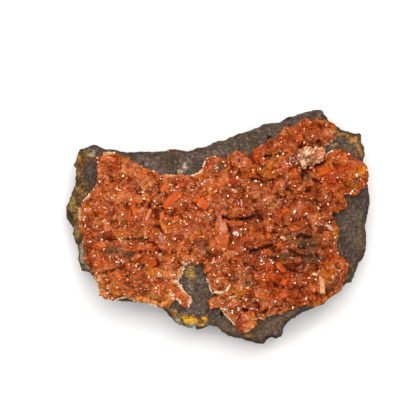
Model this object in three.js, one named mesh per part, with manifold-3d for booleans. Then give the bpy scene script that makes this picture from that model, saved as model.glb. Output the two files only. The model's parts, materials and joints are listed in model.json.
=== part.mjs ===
// Wulfenite on matrix: a broken slab of dark rock, a sheet of orange-red wulfenite crystals
// grown together over most of its top, and one pale sugary block of calcite between them.
// Millimetres, +Z up. The slab lies on its flat underside, centred over the origin.
import * as THREE from 'three';
import { mergeVertices } from 'three/addons/utils/BufferGeometryUtils.js';
import Module from 'manifold-3d';

const wasm = await Module();
wasm.setup();

// ---------------------------------------------------------------- driving dimensions
const ROCK_TOP = 19.5; // height of the slab's broken top face over its middle
const ROCK_CELL = 6.0; // spacing of the facets on the rock's top
const ROCK_RIM_DROP = 2.6; // how far the top face falls towards its broken edge
const ROCK_RIM_WIDTH = 8.0;
const LEFT_RIM_DROP = 7.0; // the weathered left rim slopes down much further
const LEFT_RIM_X = -47.0; // where that slope starts
const LEFT_RIM_WIDTH = 14.0;

const CRUST_EDGE = 1.9; // thickness of the crystal sheet at its broken rim
const CRUST_MIDDLE = 5.2; // and inside it
const CRUST_RISE_WIDTH = 11.0;
const CRUST_CELL = 4.0; // spacing of the facets on the sheet
const CRUST_OVERHANG = 0.5; // the rim's upper edge stands out past its lower edge
const CRUST_LUMP = 1.5; // height of the lumps that the crystals grow in
const SEAT_GAP = 0.3; // between pieces that touch
const FINEST = 0.1; // facets and slivers smaller than this are merged into their neighbours

const CRYSTAL_SPACING = 6.5; // of the small crystals
const CRYSTAL_MIN = 4.0; // width of the small crystals
const CRYSTAL_MAX = 7.4;
const CEILING = 60.0; // above everything

// The slab's widest outline, seen from above, clockwise from the top left corner.
const ROCK_OUTLINE = [
  [-52.8, 31.6], [-50.8, 32.4], [-47.6, 32.2], [-45.8, 30.9], [-42.0, 30.9], [-36.0, 29.5],
  [-27.2, 30.6], [-21.2, 30.1], [-17.8, 31.1], [-13.6, 30.2], [-7.2, 31.8], [-2.4, 32.9],
  [5.6, 36.0], [14.8, 39.7], [19.2, 41.2], [24.8, 42.4], [27.2, 43.6], [30.8, 44.2],
  [34.0, 45.6], [40.4, 46.9], [41.6, 46.9], [42.2, 45.4], [44.6, 42.3], [49.6, 38.6],
  [52.8, 37.7], [56.8, 37.2], [58.2, 31.6], [58.8, 28.8], [57.8, 25.4], [58.8, 20.4],
  [59.8, 16.0], [60.4, 12.0], [60.7, 9.6], [58.8, 2.0], [59.5, -3.6], [58.8, -9.2],
  [58.0, -12.4], [55.2, -15.6], [53.2, -22.0], [50.2, -22.7], [48.0, -25.6], [42.8, -29.2],
  [38.4, -32.2], [33.6, -34.0], [30.8, -36.6], [28.0, -37.6], [26.6, -40.6], [25.4, -43.6],
  [23.2, -44.6], [21.7, -43.6], [19.2, -44.8], [18.0, -46.9], [10.0, -45.2], [2.4, -42.4],
  [0.4, -40.4], [-2.4, -39.5], [-6.0, -40.9], [-12.4, -40.3], [-17.6, -37.8], [-22.0, -32.2],
  [-28.4, -30.7], [-38.4, -29.6], [-43.2, -28.8], [-47.2, -24.4], [-48.4, -21.6],
  [-51.2, -18.1], [-53.6, -17.6], [-56.0, -12.8], [-55.6, -9.6], [-57.4, -3.2], [-57.7, 0.4],
  [-60.2, 3.6], [-60.7, 6.8], [-58.0, 14.4], [-56.7, 17.4], [-56.9, 22.8], [-57.6, 25.2],
  [-57.0, 28.4], [-54.8, 30.9],
];

// The crystal sheet's rim, clockwise from its top left tip.
const CRUST_OUTLINE = [
  [-49.5, 27.8], [-47.2, 28.4], [-45.2, 29.3], [-41.0, 30.0], [-36.0, 27.4], [-28.8, 23.2],
  [-25.2, 22.2], [-24.2, 20.9], [-17.6, 20.6], [-15.2, 21.2], [-10.2, 20.0], [-6.2, 22.6],
  [-4.8, 27.2], [-2.0, 28.3], [1.6, 27.7], [3.6, 26.4], [6.0, 29.8], [7.4, 30.7],
  [11.4, 28.4], [13.0, 26.7], [13.4, 29.6], [16.0, 32.0], [22.0, 34.2], [23.2, 36.4],
  [25.6, 38.8], [26.0, 40.0], [30.4, 40.2], [32.4, 42.2], [34.8, 44.2], [36.0, 43.0],
  [45.2, 42.4], [47.2, 40.9], [48.2, 38.6], [46.8, 37.0], [45.8, 34.4], [42.2, 32.2],
  [34.0, 31.4], [31.2, 27.6], [33.6, 23.6], [36.0, 24.6], [40.0, 25.4], [42.4, 28.0],
  [43.6, 29.4], [48.4, 31.4], [52.0, 29.4], [56.8, 26.0], [59.2, 25.2], [60.2, 22.8],
  [60.2, 19.6], [59.4, 16.2], [56.8, 15.0], [56.4, 13.0], [54.0, 12.3], [49.4, 13.5],
  [51.8, 8.8], [50.6, 6.8], [45.2, 6.0], [47.4, -0.8], [48.0, -10.4], [50.0, -11.8],
  [52.1, -14.6], [50.8, -20.0], [49.1, -24.8], [45.6, -27.8], [38.4, -31.4], [33.2, -31.4],
  [26.8, -34.0], [19.6, -35.5], [14.2, -35.2], [16.0, -39.0], [9.6, -43.0], [8.8, -42.9],
  [7.2, -39.0], [3.2, -35.2], [0.8, -32.2], [-3.2, -32.6], [-4.2, -29.6], [-2.8, -27.8],
  [4.0, -27.4], [-2.4, -26.4], [-3.2, -24.4], [-6.4, -14.0], [-8.0, -15.0], [-12.0, -13.6],
  [-14.0, -15.4], [-14.2, -17.8], [-16.8, -22.0], [-12.0, -27.2], [-10.6, -29.4],
  [-13.4, -32.8], [-15.6, -29.0], [-16.6, -28.0], [-20.2, -32.4], [-27.2, -30.8],
  [-33.6, -29.4], [-35.6, -28.0], [-42.0, -29.7], [-46.4, -26.8], [-48.4, -21.0],
  [-52.6, -14.8], [-53.8, -11.0], [-53.2, -8.0], [-54.4, -6.2], [-55.3, 0.8], [-55.8, 6.4],
  [-53.6, 10.6], [-49.2, 15.0], [-47.4, 24.6], [-48.6, 26.4],
];

// The pale block between the sheet's top lobe and its right lobe.
const DRUSE_OUTLINE = [
  [31.8, 28.0], [33.4, 30.6], [36.2, 31.2], [40.4, 31.6], [42.0, 31.2], [42.2, 29.2],
  [41.4, 26.8], [39.2, 25.6], [36.4, 24.9], [34.4, 24.2], [33.2, 25.6],
];
const DRUSE_HEIGHT = 6.4; // above the rock
const DRUSE_GRAIN = 2.3;

// Steps across the sheet: from one point to the other, higher by this much on their north side.
const LEDGES = [
  { from: [2.8, 5.0], to: [12.8, 3.4], step: 2.6 },
  { from: [12.8, 18.4], to: [19.2, 17.8], step: 2.2 },
  { from: [13.6, -9.0], to: [18.4, -7.2], step: 1.8 },
  { from: [31.2, -3.2], to: [37.0, -3.6], step: 1.8 },
  { from: [20.0, 28.2], to: [24.0, 28.6], step: 1.6 },
  { from: [3.6, 16.8], to: [7.2, 16.2], step: 1.6 },
  { from: [-49.6, -17.8], to: [-38.4, -16.4], step: 1.8 },
  { from: [-47.0, -4.2], to: [-41.2, -4.6], step: 1.5 },
  { from: [-31.0, -4.8], to: [-26.8, -4.6], step: 1.5 },
  { from: [26.2, 8.6], to: [28.2, -0.6], step: 1.4 },
];
const LEDGE_REACH_UP = 8.0;
const LEDGE_REACH_DOWN = 3.6;

// Broad mounds and hollows of the sheet: centre, radius and height.
const SWELLS = [
  { at: [54.6, 20.4], radius: 7.0, rise: 2.2 },
  { at: [39.0, 38.8], radius: 9.0, rise: 1.6 },
  { at: [8.0, 25.0], radius: 6.5, rise: 2.0 },
  { at: [17.6, 27.0], radius: 5.5, rise: 2.0 },
  { at: [5.0, 10.0], radius: 12.0, rise: 2.0 },
  { at: [31.0, -19.0], radius: 13.0, rise: 1.6 },
  { at: [11.0, -38.0], radius: 7.0, rise: 1.0 },
  { at: [34.4, -8.8], radius: 6.5, rise: -2.2 },
  { at: [-40.0, -10.8], radius: 7.5, rise: -1.6 },
  { at: [-6.0, -9.2], radius: 4.5, rise: -1.6 },
  { at: [34.0, 20.4], radius: 4.0, rise: -1.6 },
];

// The crystals that stand out: centre, length, width and thickness, the heading of their length
// from +X, how far they tip up out of the sheet, and their form.
const LARGE_CRYSTALS = [
  { at: [-18.2, 11.0], size: [9.6, 4.0, 2.0], heading: 45, tip: 12, form: 'plate' },
  { at: [-21.8, 16.6], size: [4.6, 2.8, 2.2], heading: 62, tip: 25, form: 'plate' },
  { at: [-37.6, 21.2], size: [5.0, 1.9, 2.6], heading: 100, tip: 30, form: 'plate' },
  { at: [-27.6, 5.6], size: [4.8, 1.4, 2.6], heading: 62, tip: 30, form: 'plate' },
  { at: [-33.6, 6.8], size: [7.6, 2.4, 2.6], heading: 110, tip: 18, form: 'plate' },
  { at: [-22.0, 3.6], size: [6.0, 1.8, 3.0], heading: 84, tip: 14, form: 'plate' },
  { at: [-20.8, -1.4], size: [5.0, 1.8, 2.8], heading: 118, tip: 8, form: 'plate' },
  { at: [-6.4, 9.6], size: [4.8, 4.6, 2.0], heading: 30, tip: 30, form: 'plate' },
  { at: [0.6, 0.4], size: [12.6, 4.4, 4.0], heading: 88, tip: 17, form: 'spire' },
  { at: [2.8, -4.6], size: [5.4, 3.0, 3.0], heading: 80, tip: 25, form: 'block' },
  { at: [26.4, 23.2], size: [3.4, 2.8, 3.0], heading: 86, tip: 30, form: 'block' },
  { at: [42.0, 22.2], size: [5.8, 5.2, 2.4], heading: 25, tip: 28, form: 'plate' },
  { at: [50.2, 26.0], size: [3.6, 3.0, 2.6], heading: 60, tip: 35, form: 'block' },
  { at: [57.4, 22.0], size: [3.2, 2.4, 2.4], heading: 80, tip: 30, form: 'block' },
  { at: [19.6, 20.4], size: [4.6, 4.2, 3.0], heading: 70, tip: 25, form: 'block' },
  { at: [15.6, 28.4], size: [5.0, 4.2, 3.0], heading: 100, tip: 35, form: 'block' },
  { at: [6.4, 18.6], size: [4.8, 4.0, 2.6], heading: 40, tip: 30, form: 'block' },
  { at: [41.2, -23.0], size: [6.8, 2.2, 2.0], heading: 93, tip: 8, form: 'plate' },
  { at: [11.4, -37.8], size: [7.0, 6.8, 2.2], heading: 35, tip: 6, form: 'plate' },
  { at: [11.4, -4.8], size: [5.2, 2.6, 2.4], heading: 8, tip: 18, form: 'plate' },
  { at: [7.0, 1.4], size: [4.4, 2.4, 2.4], heading: 6, tip: 18, form: 'plate' },
  { at: [19.8, -3.0], size: [3.4, 2.8, 2.4], heading: 80, tip: 25, form: 'block' },
  { at: [18.4, -9.8], size: [3.2, 2.6, 2.4], heading: 60, tip: 30, form: 'block' },
  { at: [25.0, -16.2], size: [4.2, 2.2, 2.6], heading: 120, tip: 25, form: 'plate' },
  { at: [26.8, -21.8], size: [3.6, 2.4, 2.6], heading: 60, tip: 25, form: 'plate' },
  { at: [26.0, -26.8], size: [3.4, 3.2, 2.8], heading: 20, tip: 30, form: 'block' },
  { at: [37.4, -24.6], size: [3.4, 2.8, 2.6], heading: 120, tip: 30, form: 'block' },
  { at: [30.6, 1.2], size: [5.0, 3.2, 2.2], heading: 15, tip: 20, form: 'plate' },
  { at: [40.6, -0.8], size: [3.4, 3.2, 3.0], heading: 45, tip: 30, form: 'block' },
];

// ---------------------------------------------------------------- numbers and noise
const lerp = THREE.MathUtils.lerp;
const smoothstep = THREE.MathUtils.smoothstep;
const radians = THREE.MathUtils.degToRad;

// A seeded run of numbers from 0 to 1.
function randomRun(seed) {
  let state = seed >>> 0;
  return () => {
    state = (state + 0x6d2b79f5) >>> 0;
    let t = state;
    t = Math.imul(t ^ (t >>> 15), t | 1);
    t ^= t + Math.imul(t ^ (t >>> 7), t | 61);
    return ((t ^ (t >>> 14)) >>> 0) / 4294967296;
  };
}

// The same number from -1 to 1 for the same place in a grid.
function cellNumber(i, j, seed) {
  let h = Math.imul(i, 374761393) ^ Math.imul(j, 668265263) ^ Math.imul(seed, 974634777);
  h = Math.imul(h ^ (h >>> 13), 1274126177);
  return (((h ^ (h >>> 16)) >>> 0) / 2147483648) - 1;
}

// Smooth noise from -1 to 1 with humps about `size` across.
function noise(x, y, size, seed) {
  const u = x / size;
  const v = y / size;
  const i = Math.floor(u);
  const j = Math.floor(v);
  const s = smoothstep(u - i, 0, 1);
  const t = smoothstep(v - j, 0, 1);
  const low = lerp(cellNumber(i, j, seed), cellNumber(i + 1, j, seed), s);
  const high = lerp(cellNumber(i, j + 1, seed), cellNumber(i + 1, j + 1, seed), s);
  return lerp(low, high, t);
}

// ---------------------------------------------------------------- outlines
const points = (outline) => outline.map(([x, y]) => new THREE.Vector2(x, y)).reverse();
const rockOutline = points(ROCK_OUTLINE);
const crustOutline = points(CRUST_OUTLINE);
const druseOutline = points(DRUSE_OUTLINE);

// Distance from a point to an outline: positive inside it, negative outside.
function depthInside(x, y, outline) {
  let inside = false;
  let nearest = Infinity;
  outline.forEach((a, k) => {
    const b = outline[(k + 1) % outline.length];
    if (a.y > y !== b.y > y && x < a.x + ((b.x - a.x) * (y - a.y)) / (b.y - a.y)) {
      inside = !inside;
    }
    nearest = Math.min(nearest, distanceToLine(x, y, a, b));
  });
  return inside ? nearest : -nearest;
}

function distanceToLine(x, y, a, b) {
  const along = new THREE.Vector2(b.x - a.x, b.y - a.y);
  const t = ((x - a.x) * along.x + (y - a.y) * along.y) / along.lengthSq();
  const s = THREE.MathUtils.clamp(t, 0, 1);
  return Math.hypot(x - a.x - s * along.x, y - a.y - s * along.y);
}

// An outline moved in by `inset` along the bisector of its two sides at each point.
function insetOutline(outline, inset) {
  return outline.map((p, k) => {
    const before = outline[(k + outline.length - 1) % outline.length];
    const after = outline[(k + 1) % outline.length];
    const along = after.clone().sub(before).normalize();
    return new THREE.Vector2(p.x - along.y * inset, p.y + along.x * inset);
  });
}

// ---------------------------------------------------------------- solids
function meshGeometry(vertices, triangles) {
  const geometry = new THREE.BufferGeometry();
  geometry.setAttribute('position', new THREE.Float32BufferAttribute(vertices, 3));
  geometry.setIndex(triangles);
  return geometry;
}

function toSolid(geometry) {
  const bare = geometry.clone();
  bare.deleteAttribute('normal');
  bare.deleteAttribute('uv');
  const merged = mergeVertices(bare, 1e-4);
  const mesh = new wasm.Mesh({
    numProp: 3,
    vertProperties: Float32Array.from(merged.attributes.position.array),
    triVerts: Uint32Array.from(merged.index.array),
  });
  return new wasm.Manifold(mesh);
}

// The body of the largest volume, with specks and slivers left out.
function mainBody(solid) {
  const bodies = solid.simplify(FINEST).decompose();
  return bodies.reduce((best, body) => (body.volume() > best.volume() ? body : best));
}

function toGeometry(solid) {
  const mesh = solid.getMesh();
  return meshGeometry(Array.from(mesh.vertProperties), Array.from(mesh.triVerts));
}

// Rings of points one above the other, joined into a closed solid. They run anticlockwise.
function ringStack(rings) {
  const count = rings[0].outline.length;
  const vertices = rings.flatMap(({ outline, z }) => outline.flatMap((p) => [p.x, p.y, z]));
  const triangles = [];
  for (let ring = 0; ring + 1 < rings.length; ring += 1) {
    for (let k = 0; k < count; k += 1) {
      const a = ring * count + k;
      const b = ring * count + ((k + 1) % count);
      triangles.push(a, b, b + count, a, b + count, a + count);
    }
  }
  const last = (rings.length - 1) * count;
  for (const [a, b, c] of THREE.ShapeUtils.triangulateShape(rings[0].outline, [])) {
    triangles.push(a, c, b);
  }
  for (const [a, b, c] of THREE.ShapeUtils.triangulateShape(rings.at(-1).outline, [])) {
    triangles.push(last + a, last + b, last + c);
  }
  return toSolid(meshGeometry(vertices, triangles));
}

// A closed block whose top follows heightAt, in facets of about the given size.
const TERRAIN_HALF_X = 66;
const TERRAIN_HALF_Y = 52;
const TERRAIN_FLOOR = -6;
function terrain(cell, heightAt, lift) {
  const across = Math.round((2 * TERRAIN_HALF_X) / cell);
  const up = Math.round((2 * TERRAIN_HALF_Y) / cell);
  const vertices = [];
  const triangles = [];
  const index = (i, j) => j * (across + 1) + i;
  for (let j = 0; j <= up; j += 1) {
    for (let i = 0; i <= across; i += 1) {
      const inner = i > 0 && j > 0 && i < across && j < up ? 0.3 * cell : 0;
      const x = lerp(-TERRAIN_HALF_X, TERRAIN_HALF_X, i / across) + inner * cellNumber(i, j, 11);
      const y = lerp(-TERRAIN_HALF_Y, TERRAIN_HALF_Y, j / up) + inner * cellNumber(i, j, 12);
      vertices.push(x, y, heightAt(x, y) + lift);
    }
  }
  for (let j = 0; j < up; j += 1) {
    for (let i = 0; i < across; i += 1) {
      const [a, b] = [index(i, j), index(i + 1, j)];
      const [c, d] = [index(i + 1, j + 1), index(i, j + 1)];
      triangles.push(...(cellNumber(i, j, 13) > 0 ? [a, b, c, a, c, d] : [a, b, d, b, c, d]));
    }
  }
  const border = [];
  for (let i = 0; i < across; i += 1) border.push(index(i, 0));
  for (let j = 0; j < up; j += 1) border.push(index(across, j));
  for (let i = across; i > 0; i -= 1) border.push(index(i, up));
  for (let j = up; j > 0; j -= 1) border.push(index(0, j));
  const firstFloor = vertices.length / 3;
  for (const top of border) {
    vertices.push(vertices[3 * top], vertices[3 * top + 1], TERRAIN_FLOOR);
  }
  const centre = vertices.length / 3;
  vertices.push(0, 0, TERRAIN_FLOOR);
  border.forEach((top, k) => {
    const next = (k + 1) % border.length;
    const [floor, floorNext] = [firstFloor + k, firstFloor + next];
    triangles.push(top, floor, floorNext, top, floorNext, border[next]);
    triangles.push(floor, centre, floorNext);
  });
  return toSolid(meshGeometry(vertices, triangles));
}

// ---------------------------------------------------------------- the rock
// The slab's top: a flat broken face that falls to its rim, and further on the left.
function rockTopAt(x, y) {
  const depth = Math.max(0, depthInside(x, y, rockOutline));
  const rim = 1 - smoothstep(depth, 0, ROCK_RIM_WIDTH);
  const left = smoothstep(LEFT_RIM_X - x, 0, LEFT_RIM_WIDTH);
  const waves = 0.9 * noise(x, y, 19, 21) + 0.5 * noise(x, y, 8, 22);
  return ROCK_TOP - ROCK_RIM_DROP * rim - LEFT_RIM_DROP * left + waves;
}

// The broken sides: each level is the widest outline drawn in towards the middle, unevenly.
const ROCK_LEVELS = [
  { z: 0, shrink: 0.13, uneven: 0.035 },
  { z: 4.5, shrink: 0.045, uneven: 0.025 },
  { z: 9.5, shrink: 0, uneven: 0 },
  { z: 26, shrink: 0.03, uneven: 0.012 },
];
function rockLevel({ z, shrink, uneven }, level) {
  const outline = rockOutline.map((p) => {
    const scale = 1 - shrink - uneven * noise(p.x, p.y, 9, 31 + level);
    return p.clone().multiplyScalar(scale);
  });
  return { outline, z };
}

// Flat breaks that slant up from the underside to the rim: where each starts, which way it
// faces, how steeply it rises and how wide it is.
const UNDER_BREAKS = [
  { start: [-45, -12], heading: 206, slope: 38, width: 34 },
  { start: [-46, 22], heading: 158, slope: 46, width: 26 },
  { start: [-22, -28], heading: 262, slope: 52, width: 30 },
  { start: [8, -36], heading: 282, slope: 36, width: 30 },
  { start: [42, -22], heading: 316, slope: 40, width: 36 },
  { start: [53, 6], heading: 352, slope: 46, width: 22 },
  { start: [46, 30], heading: 38, slope: 42, width: 28 },
  { start: [8, 29], heading: 112, slope: 48, width: 34 },
  { start: [-22, 25], heading: 92, slope: 55, width: 26 },
];
const BREAK_BLOCK = 40; // longer than any break
function underBreak({ start, heading, slope, width }) {
  const box = new THREE.BoxGeometry(BREAK_BLOCK, width, BREAK_BLOCK);
  box.translate(BREAK_BLOCK / 2, 0, -BREAK_BLOCK / 2);
  box.rotateY(radians(-slope));
  box.rotateZ(radians(heading));
  box.translate(start[0], start[1], 0);
  return toSolid(box);
}

function makeRock() {
  let rock = ringStack(ROCK_LEVELS.map(rockLevel)).intersect(terrain(ROCK_CELL, rockTopAt, 0));
  for (const cut of UNDER_BREAKS) {
    rock = rock.subtract(underBreak(cut));
  }
  return mainBody(rock);
}

// ---------------------------------------------------------------- the crystal sheet
function ledgeAt(x, y) {
  let height = 0;
  for (const { from, to, step } of LEDGES) {
    const along = new THREE.Vector2(to[0] - from[0], to[1] - from[1]);
    const length = along.length();
    along.normalize();
    const s = (x - from[0]) * along.x + (y - from[1]) * along.y;
    const north = (y - from[1]) * along.x - (x - from[0]) * along.y;
    const past = Math.max(0, -s, s - length);
    const fade = 1 - smoothstep(past, 0, 4);
    if (north >= 0) height += fade * step * 0.6 * Math.max(0, 1 - north / LEDGE_REACH_UP);
    else height -= fade * step * 0.4 * Math.max(0, 1 + north / LEDGE_REACH_DOWN);
  }
  return height;
}

function swellAt(x, y) {
  return SWELLS.reduce((height, { at, radius, rise }) => {
    const away = Math.hypot(x - at[0], y - at[1]) / radius;
    return height + rise * (1 - smoothstep(away, 0, 1));
  }, 0);
}

function crustTopAt(x, y) {
  const depth = depthInside(x, y, crustOutline);
  const body = lerp(CRUST_EDGE, CRUST_MIDDLE, smoothstep(depth, 0, CRUST_RISE_WIDTH));
  const inner = smoothstep(depth, 0, 4);
  const lumps = CRUST_LUMP * (0.6 * noise(x, y, 9, 41) + 0.7 * noise(x, y, 4.2, 42));
  const relief = inner * (lumps + ledgeAt(x, y) + swellAt(x, y));
  const rock = ROCK_TOP - 0.8 * LEFT_RIM_DROP * smoothstep(LEFT_RIM_X - x, 0, LEFT_RIM_WIDTH);
  const fall = ROCK_RIM_DROP * (1 - smoothstep(depthInside(x, y, rockOutline), 0, ROCK_RIM_WIDTH));
  const seat = Math.max(rock - fall, rockTopAt(x, y)) + SEAT_GAP;
  return seat + Math.max(1.3, body + relief);
}

function rectangle(length, width, share) {
  return [[-1, -1], [1, -1], [1, 1], [-1, 1]].map(
    ([u, v]) => new THREE.Vector2((u * share * length) / 2, (v * share * width) / 2),
  );
}

// A square plate with its upper edges bevelled, as wulfenite grows.
function plateForm([length, width, thickness]) {
  return [
    { outline: rectangle(length, width, 0.9), z: -0.5 * thickness },
    { outline: rectangle(length, width, 1), z: -0.05 * thickness },
    { outline: rectangle(length, width, 0.72), z: 0.5 * thickness },
  ];
}

// A thicker crystal that narrows to a small top face.
function blockForm([length, width, thickness]) {
  return [
    { outline: rectangle(length, width, 0.9), z: -0.5 * thickness },
    { outline: rectangle(length, width, 1), z: -0.2 * thickness },
    { outline: rectangle(length, width, 0.42), z: 0.5 * thickness },
  ];
}

// The small crystals show only a top face and four slanting sides.
function chipForm([length, width, thickness]) {
  return [
    { outline: rectangle(length, width, 1), z: -0.5 * thickness },
    { outline: rectangle(length, width, 0.66), z: 0.5 * thickness },
  ];
}

// A six-sided column that tapers to a narrow tip. It is laid along +X.
function spireForm([length, width, thickness]) {
  const ring = (share) => Array.from({ length: 6 }, (_, k) => {
    const turn = radians(60 * k);
    return new THREE.Vector2(share * Math.cos(turn) * thickness / 2, share * Math.sin(turn) * width / 2);
  });
  return [
    { outline: ring(0.85), z: -length / 2 },
    { outline: ring(1), z: -length / 5 },
    { outline: ring(0.9), z: length / 10 },
    { outline: ring(0.12), z: length / 2 },
  ];
}

const FORMS = { plate: plateForm, block: blockForm, chip: chipForm, spire: spireForm };

// A crystal of a form and size, turned, tipped up and set at a height.
function crystal({ form, size, heading, tip, roll = 0 }, x, y, z) {
  const turn = new THREE.Matrix4();
  if (form === 'spire') turn.makeRotationY(Math.PI / 2);
  turn.premultiply(new THREE.Matrix4().makeRotationX(radians(roll)));
  turn.premultiply(new THREE.Matrix4().makeRotationY(radians(-tip)));
  turn.premultiply(new THREE.Matrix4().makeRotationZ(radians(heading)));
  turn.premultiply(new THREE.Matrix4().makeTranslation(x, y, z));
  return ringStack(FORMS[form](size)).transform(turn.elements);
}

function largeCrystals() {
  return LARGE_CRYSTALS.map((one) => {
    const [x, y] = one.at;
    return crystal(one, x, y, crustTopAt(x, y) + 0.3 * one.size[2]);
  });
}

// They stand all ways in the sheet, one to each cell of a shaken grid.
function smallCrystals() {
  const random = randomRun(7);
  const between = (low, high) => lerp(low, high, random());
  const solids = [];
  for (let y = -TERRAIN_HALF_Y; y < TERRAIN_HALF_Y; y += CRYSTAL_SPACING) {
    for (let x = -TERRAIN_HALF_X; x < TERRAIN_HALF_X; x += CRYSTAL_SPACING) {
      const cx = x + between(-0.4, 0.4) * CRYSTAL_SPACING;
      const cy = y + between(-0.4, 0.4) * CRYSTAL_SPACING;
      const width = between(CRYSTAL_MIN, CRYSTAL_MAX);
      const one = {
        form: 'chip',
        size: [width, width * between(0.7, 1), width * between(0.4, 0.7)],
        heading: between(0, 360),
        tip: between(5, 50),
        roll: between(-25, 25),
      };
      const clear = LARGE_CRYSTALS.every(({ at }) => Math.hypot(cx - at[0], cy - at[1]) > 3);
      if (clear && depthInside(cx, cy, crustOutline) > 0.32 * width) {
        solids.push(crystal(one, cx, cy, crustTopAt(cx, cy)));
      }
    }
  }
  return solids;
}

function makeCrust() {
  const sheet = ringStack([
    { outline: insetOutline(crustOutline, CRUST_OVERHANG), z: TERRAIN_FLOOR + 1 },
    { outline: insetOutline(crustOutline, CRUST_OVERHANG), z: ROCK_TOP - 4 },
    { outline: crustOutline, z: ROCK_TOP + 2 },
    { outline: crustOutline, z: CEILING },
  ]).intersect(terrain(CRUST_CELL, crustTopAt, 0));
  const grown = wasm.Manifold.union([sheet, ...largeCrystals(), ...smallCrystals()]);
  const druseRoom = ringStack([
    { outline: insetOutline(druseOutline, -SEAT_GAP - 0.1), z: 0 },
    { outline: insetOutline(druseOutline, -SEAT_GAP - 0.1), z: CEILING },
  ]);
  const seated = grown.subtract(terrain(ROCK_CELL, rockTopAt, SEAT_GAP)).subtract(druseRoom);
  return mainBody(seated);
}

// ---------------------------------------------------------------- the pale block
// A lump whose top and sides are small blocky grains, cut to its outline.
function makeDruse() {
  const random = randomRun(19);
  const between = (low, high) => lerp(low, high, random());
  const topAt = (x, y) => {
    const depth = Math.max(0, depthInside(x, y, druseOutline));
    return rockTopAt(x, y) + lerp(0.62, 0.9, smoothstep(depth, 0, 3)) * DRUSE_HEIGHT;
  };
  const column = ringStack([
    { outline: insetOutline(druseOutline, 0.8), z: 0 },
    { outline: druseOutline, z: ROCK_TOP + 0.4 * DRUSE_HEIGHT },
    { outline: insetOutline(druseOutline, 0.6), z: CEILING },
  ]);
  const grains = [];
  for (let x = 31; x < 43; x += DRUSE_GRAIN) {
    for (let y = 24; y < 32; y += DRUSE_GRAIN) {
      const one = {
        form: 'chip',
        size: [between(1.6, 2.8), between(1.6, 2.8), between(1.6, 2.6)],
        heading: between(0, 360),
        tip: between(0, 50),
      };
      if (depthInside(x, y, druseOutline) > 0.9) grains.push(crystal(one, x, y, topAt(x, y)));
    }
  }
  const body = column.intersect(terrain(2.5, topAt, 0));
  const grown = wasm.Manifold.union([body, ...grains]).intersect(column);
  return mainBody(grown.subtract(terrain(ROCK_CELL, rockTopAt, SEAT_GAP)));
}

// ---------------------------------------------------------------- the specimen
function piece(name, solid, color, roughness, metalness) {
  const geometry = toGeometry(solid);
  const material = new THREE.MeshStandardMaterial({ color, roughness, metalness, flatShading: true });
  const mesh = new THREE.Mesh(geometry, material);
  mesh.name = name;
  return mesh;
}

const specimen = new THREE.Group();
specimen.add(
  piece('matrix', makeRock(), 0x4d4640, 0.9, 0),
  piece('wulfenite_crust', makeCrust(), 0xc4511f, 0.3, 0),
  piece('calcite_block', makeDruse(), 0xd8a78e, 0.55, 0),
);

export default specimen;
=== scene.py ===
"""Wulfenite on matrix: a broken slab of dark rock, with orange-red crystals over most of its top."""
import itertools
import json
import math
import bmesh
import bpy
import numpy as np
from mathutils import Euler, Matrix, Vector, noise
from mathutils.bvhtree import BVHTree

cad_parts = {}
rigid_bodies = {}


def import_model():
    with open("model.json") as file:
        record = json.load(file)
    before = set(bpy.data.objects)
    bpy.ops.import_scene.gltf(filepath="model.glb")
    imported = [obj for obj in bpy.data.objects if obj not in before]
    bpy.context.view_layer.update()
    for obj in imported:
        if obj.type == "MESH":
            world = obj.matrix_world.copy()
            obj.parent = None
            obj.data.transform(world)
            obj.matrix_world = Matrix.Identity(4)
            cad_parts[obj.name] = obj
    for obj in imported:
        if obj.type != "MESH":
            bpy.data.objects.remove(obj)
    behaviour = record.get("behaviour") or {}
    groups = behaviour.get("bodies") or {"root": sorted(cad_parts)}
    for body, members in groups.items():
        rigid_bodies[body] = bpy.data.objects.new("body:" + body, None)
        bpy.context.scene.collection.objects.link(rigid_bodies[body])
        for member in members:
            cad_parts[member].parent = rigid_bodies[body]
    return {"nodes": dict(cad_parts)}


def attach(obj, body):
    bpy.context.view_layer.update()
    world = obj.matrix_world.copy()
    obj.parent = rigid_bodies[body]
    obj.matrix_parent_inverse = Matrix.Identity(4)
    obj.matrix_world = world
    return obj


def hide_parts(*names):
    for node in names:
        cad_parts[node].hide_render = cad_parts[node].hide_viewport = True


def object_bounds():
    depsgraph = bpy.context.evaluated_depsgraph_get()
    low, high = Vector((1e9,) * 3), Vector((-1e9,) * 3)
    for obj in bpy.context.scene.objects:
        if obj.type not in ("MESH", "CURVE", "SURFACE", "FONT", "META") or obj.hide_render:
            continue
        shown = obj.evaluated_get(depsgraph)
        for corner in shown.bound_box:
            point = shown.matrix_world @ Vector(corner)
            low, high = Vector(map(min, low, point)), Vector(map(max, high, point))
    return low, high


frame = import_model()
cad_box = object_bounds()
scene = bpy.context.scene

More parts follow.
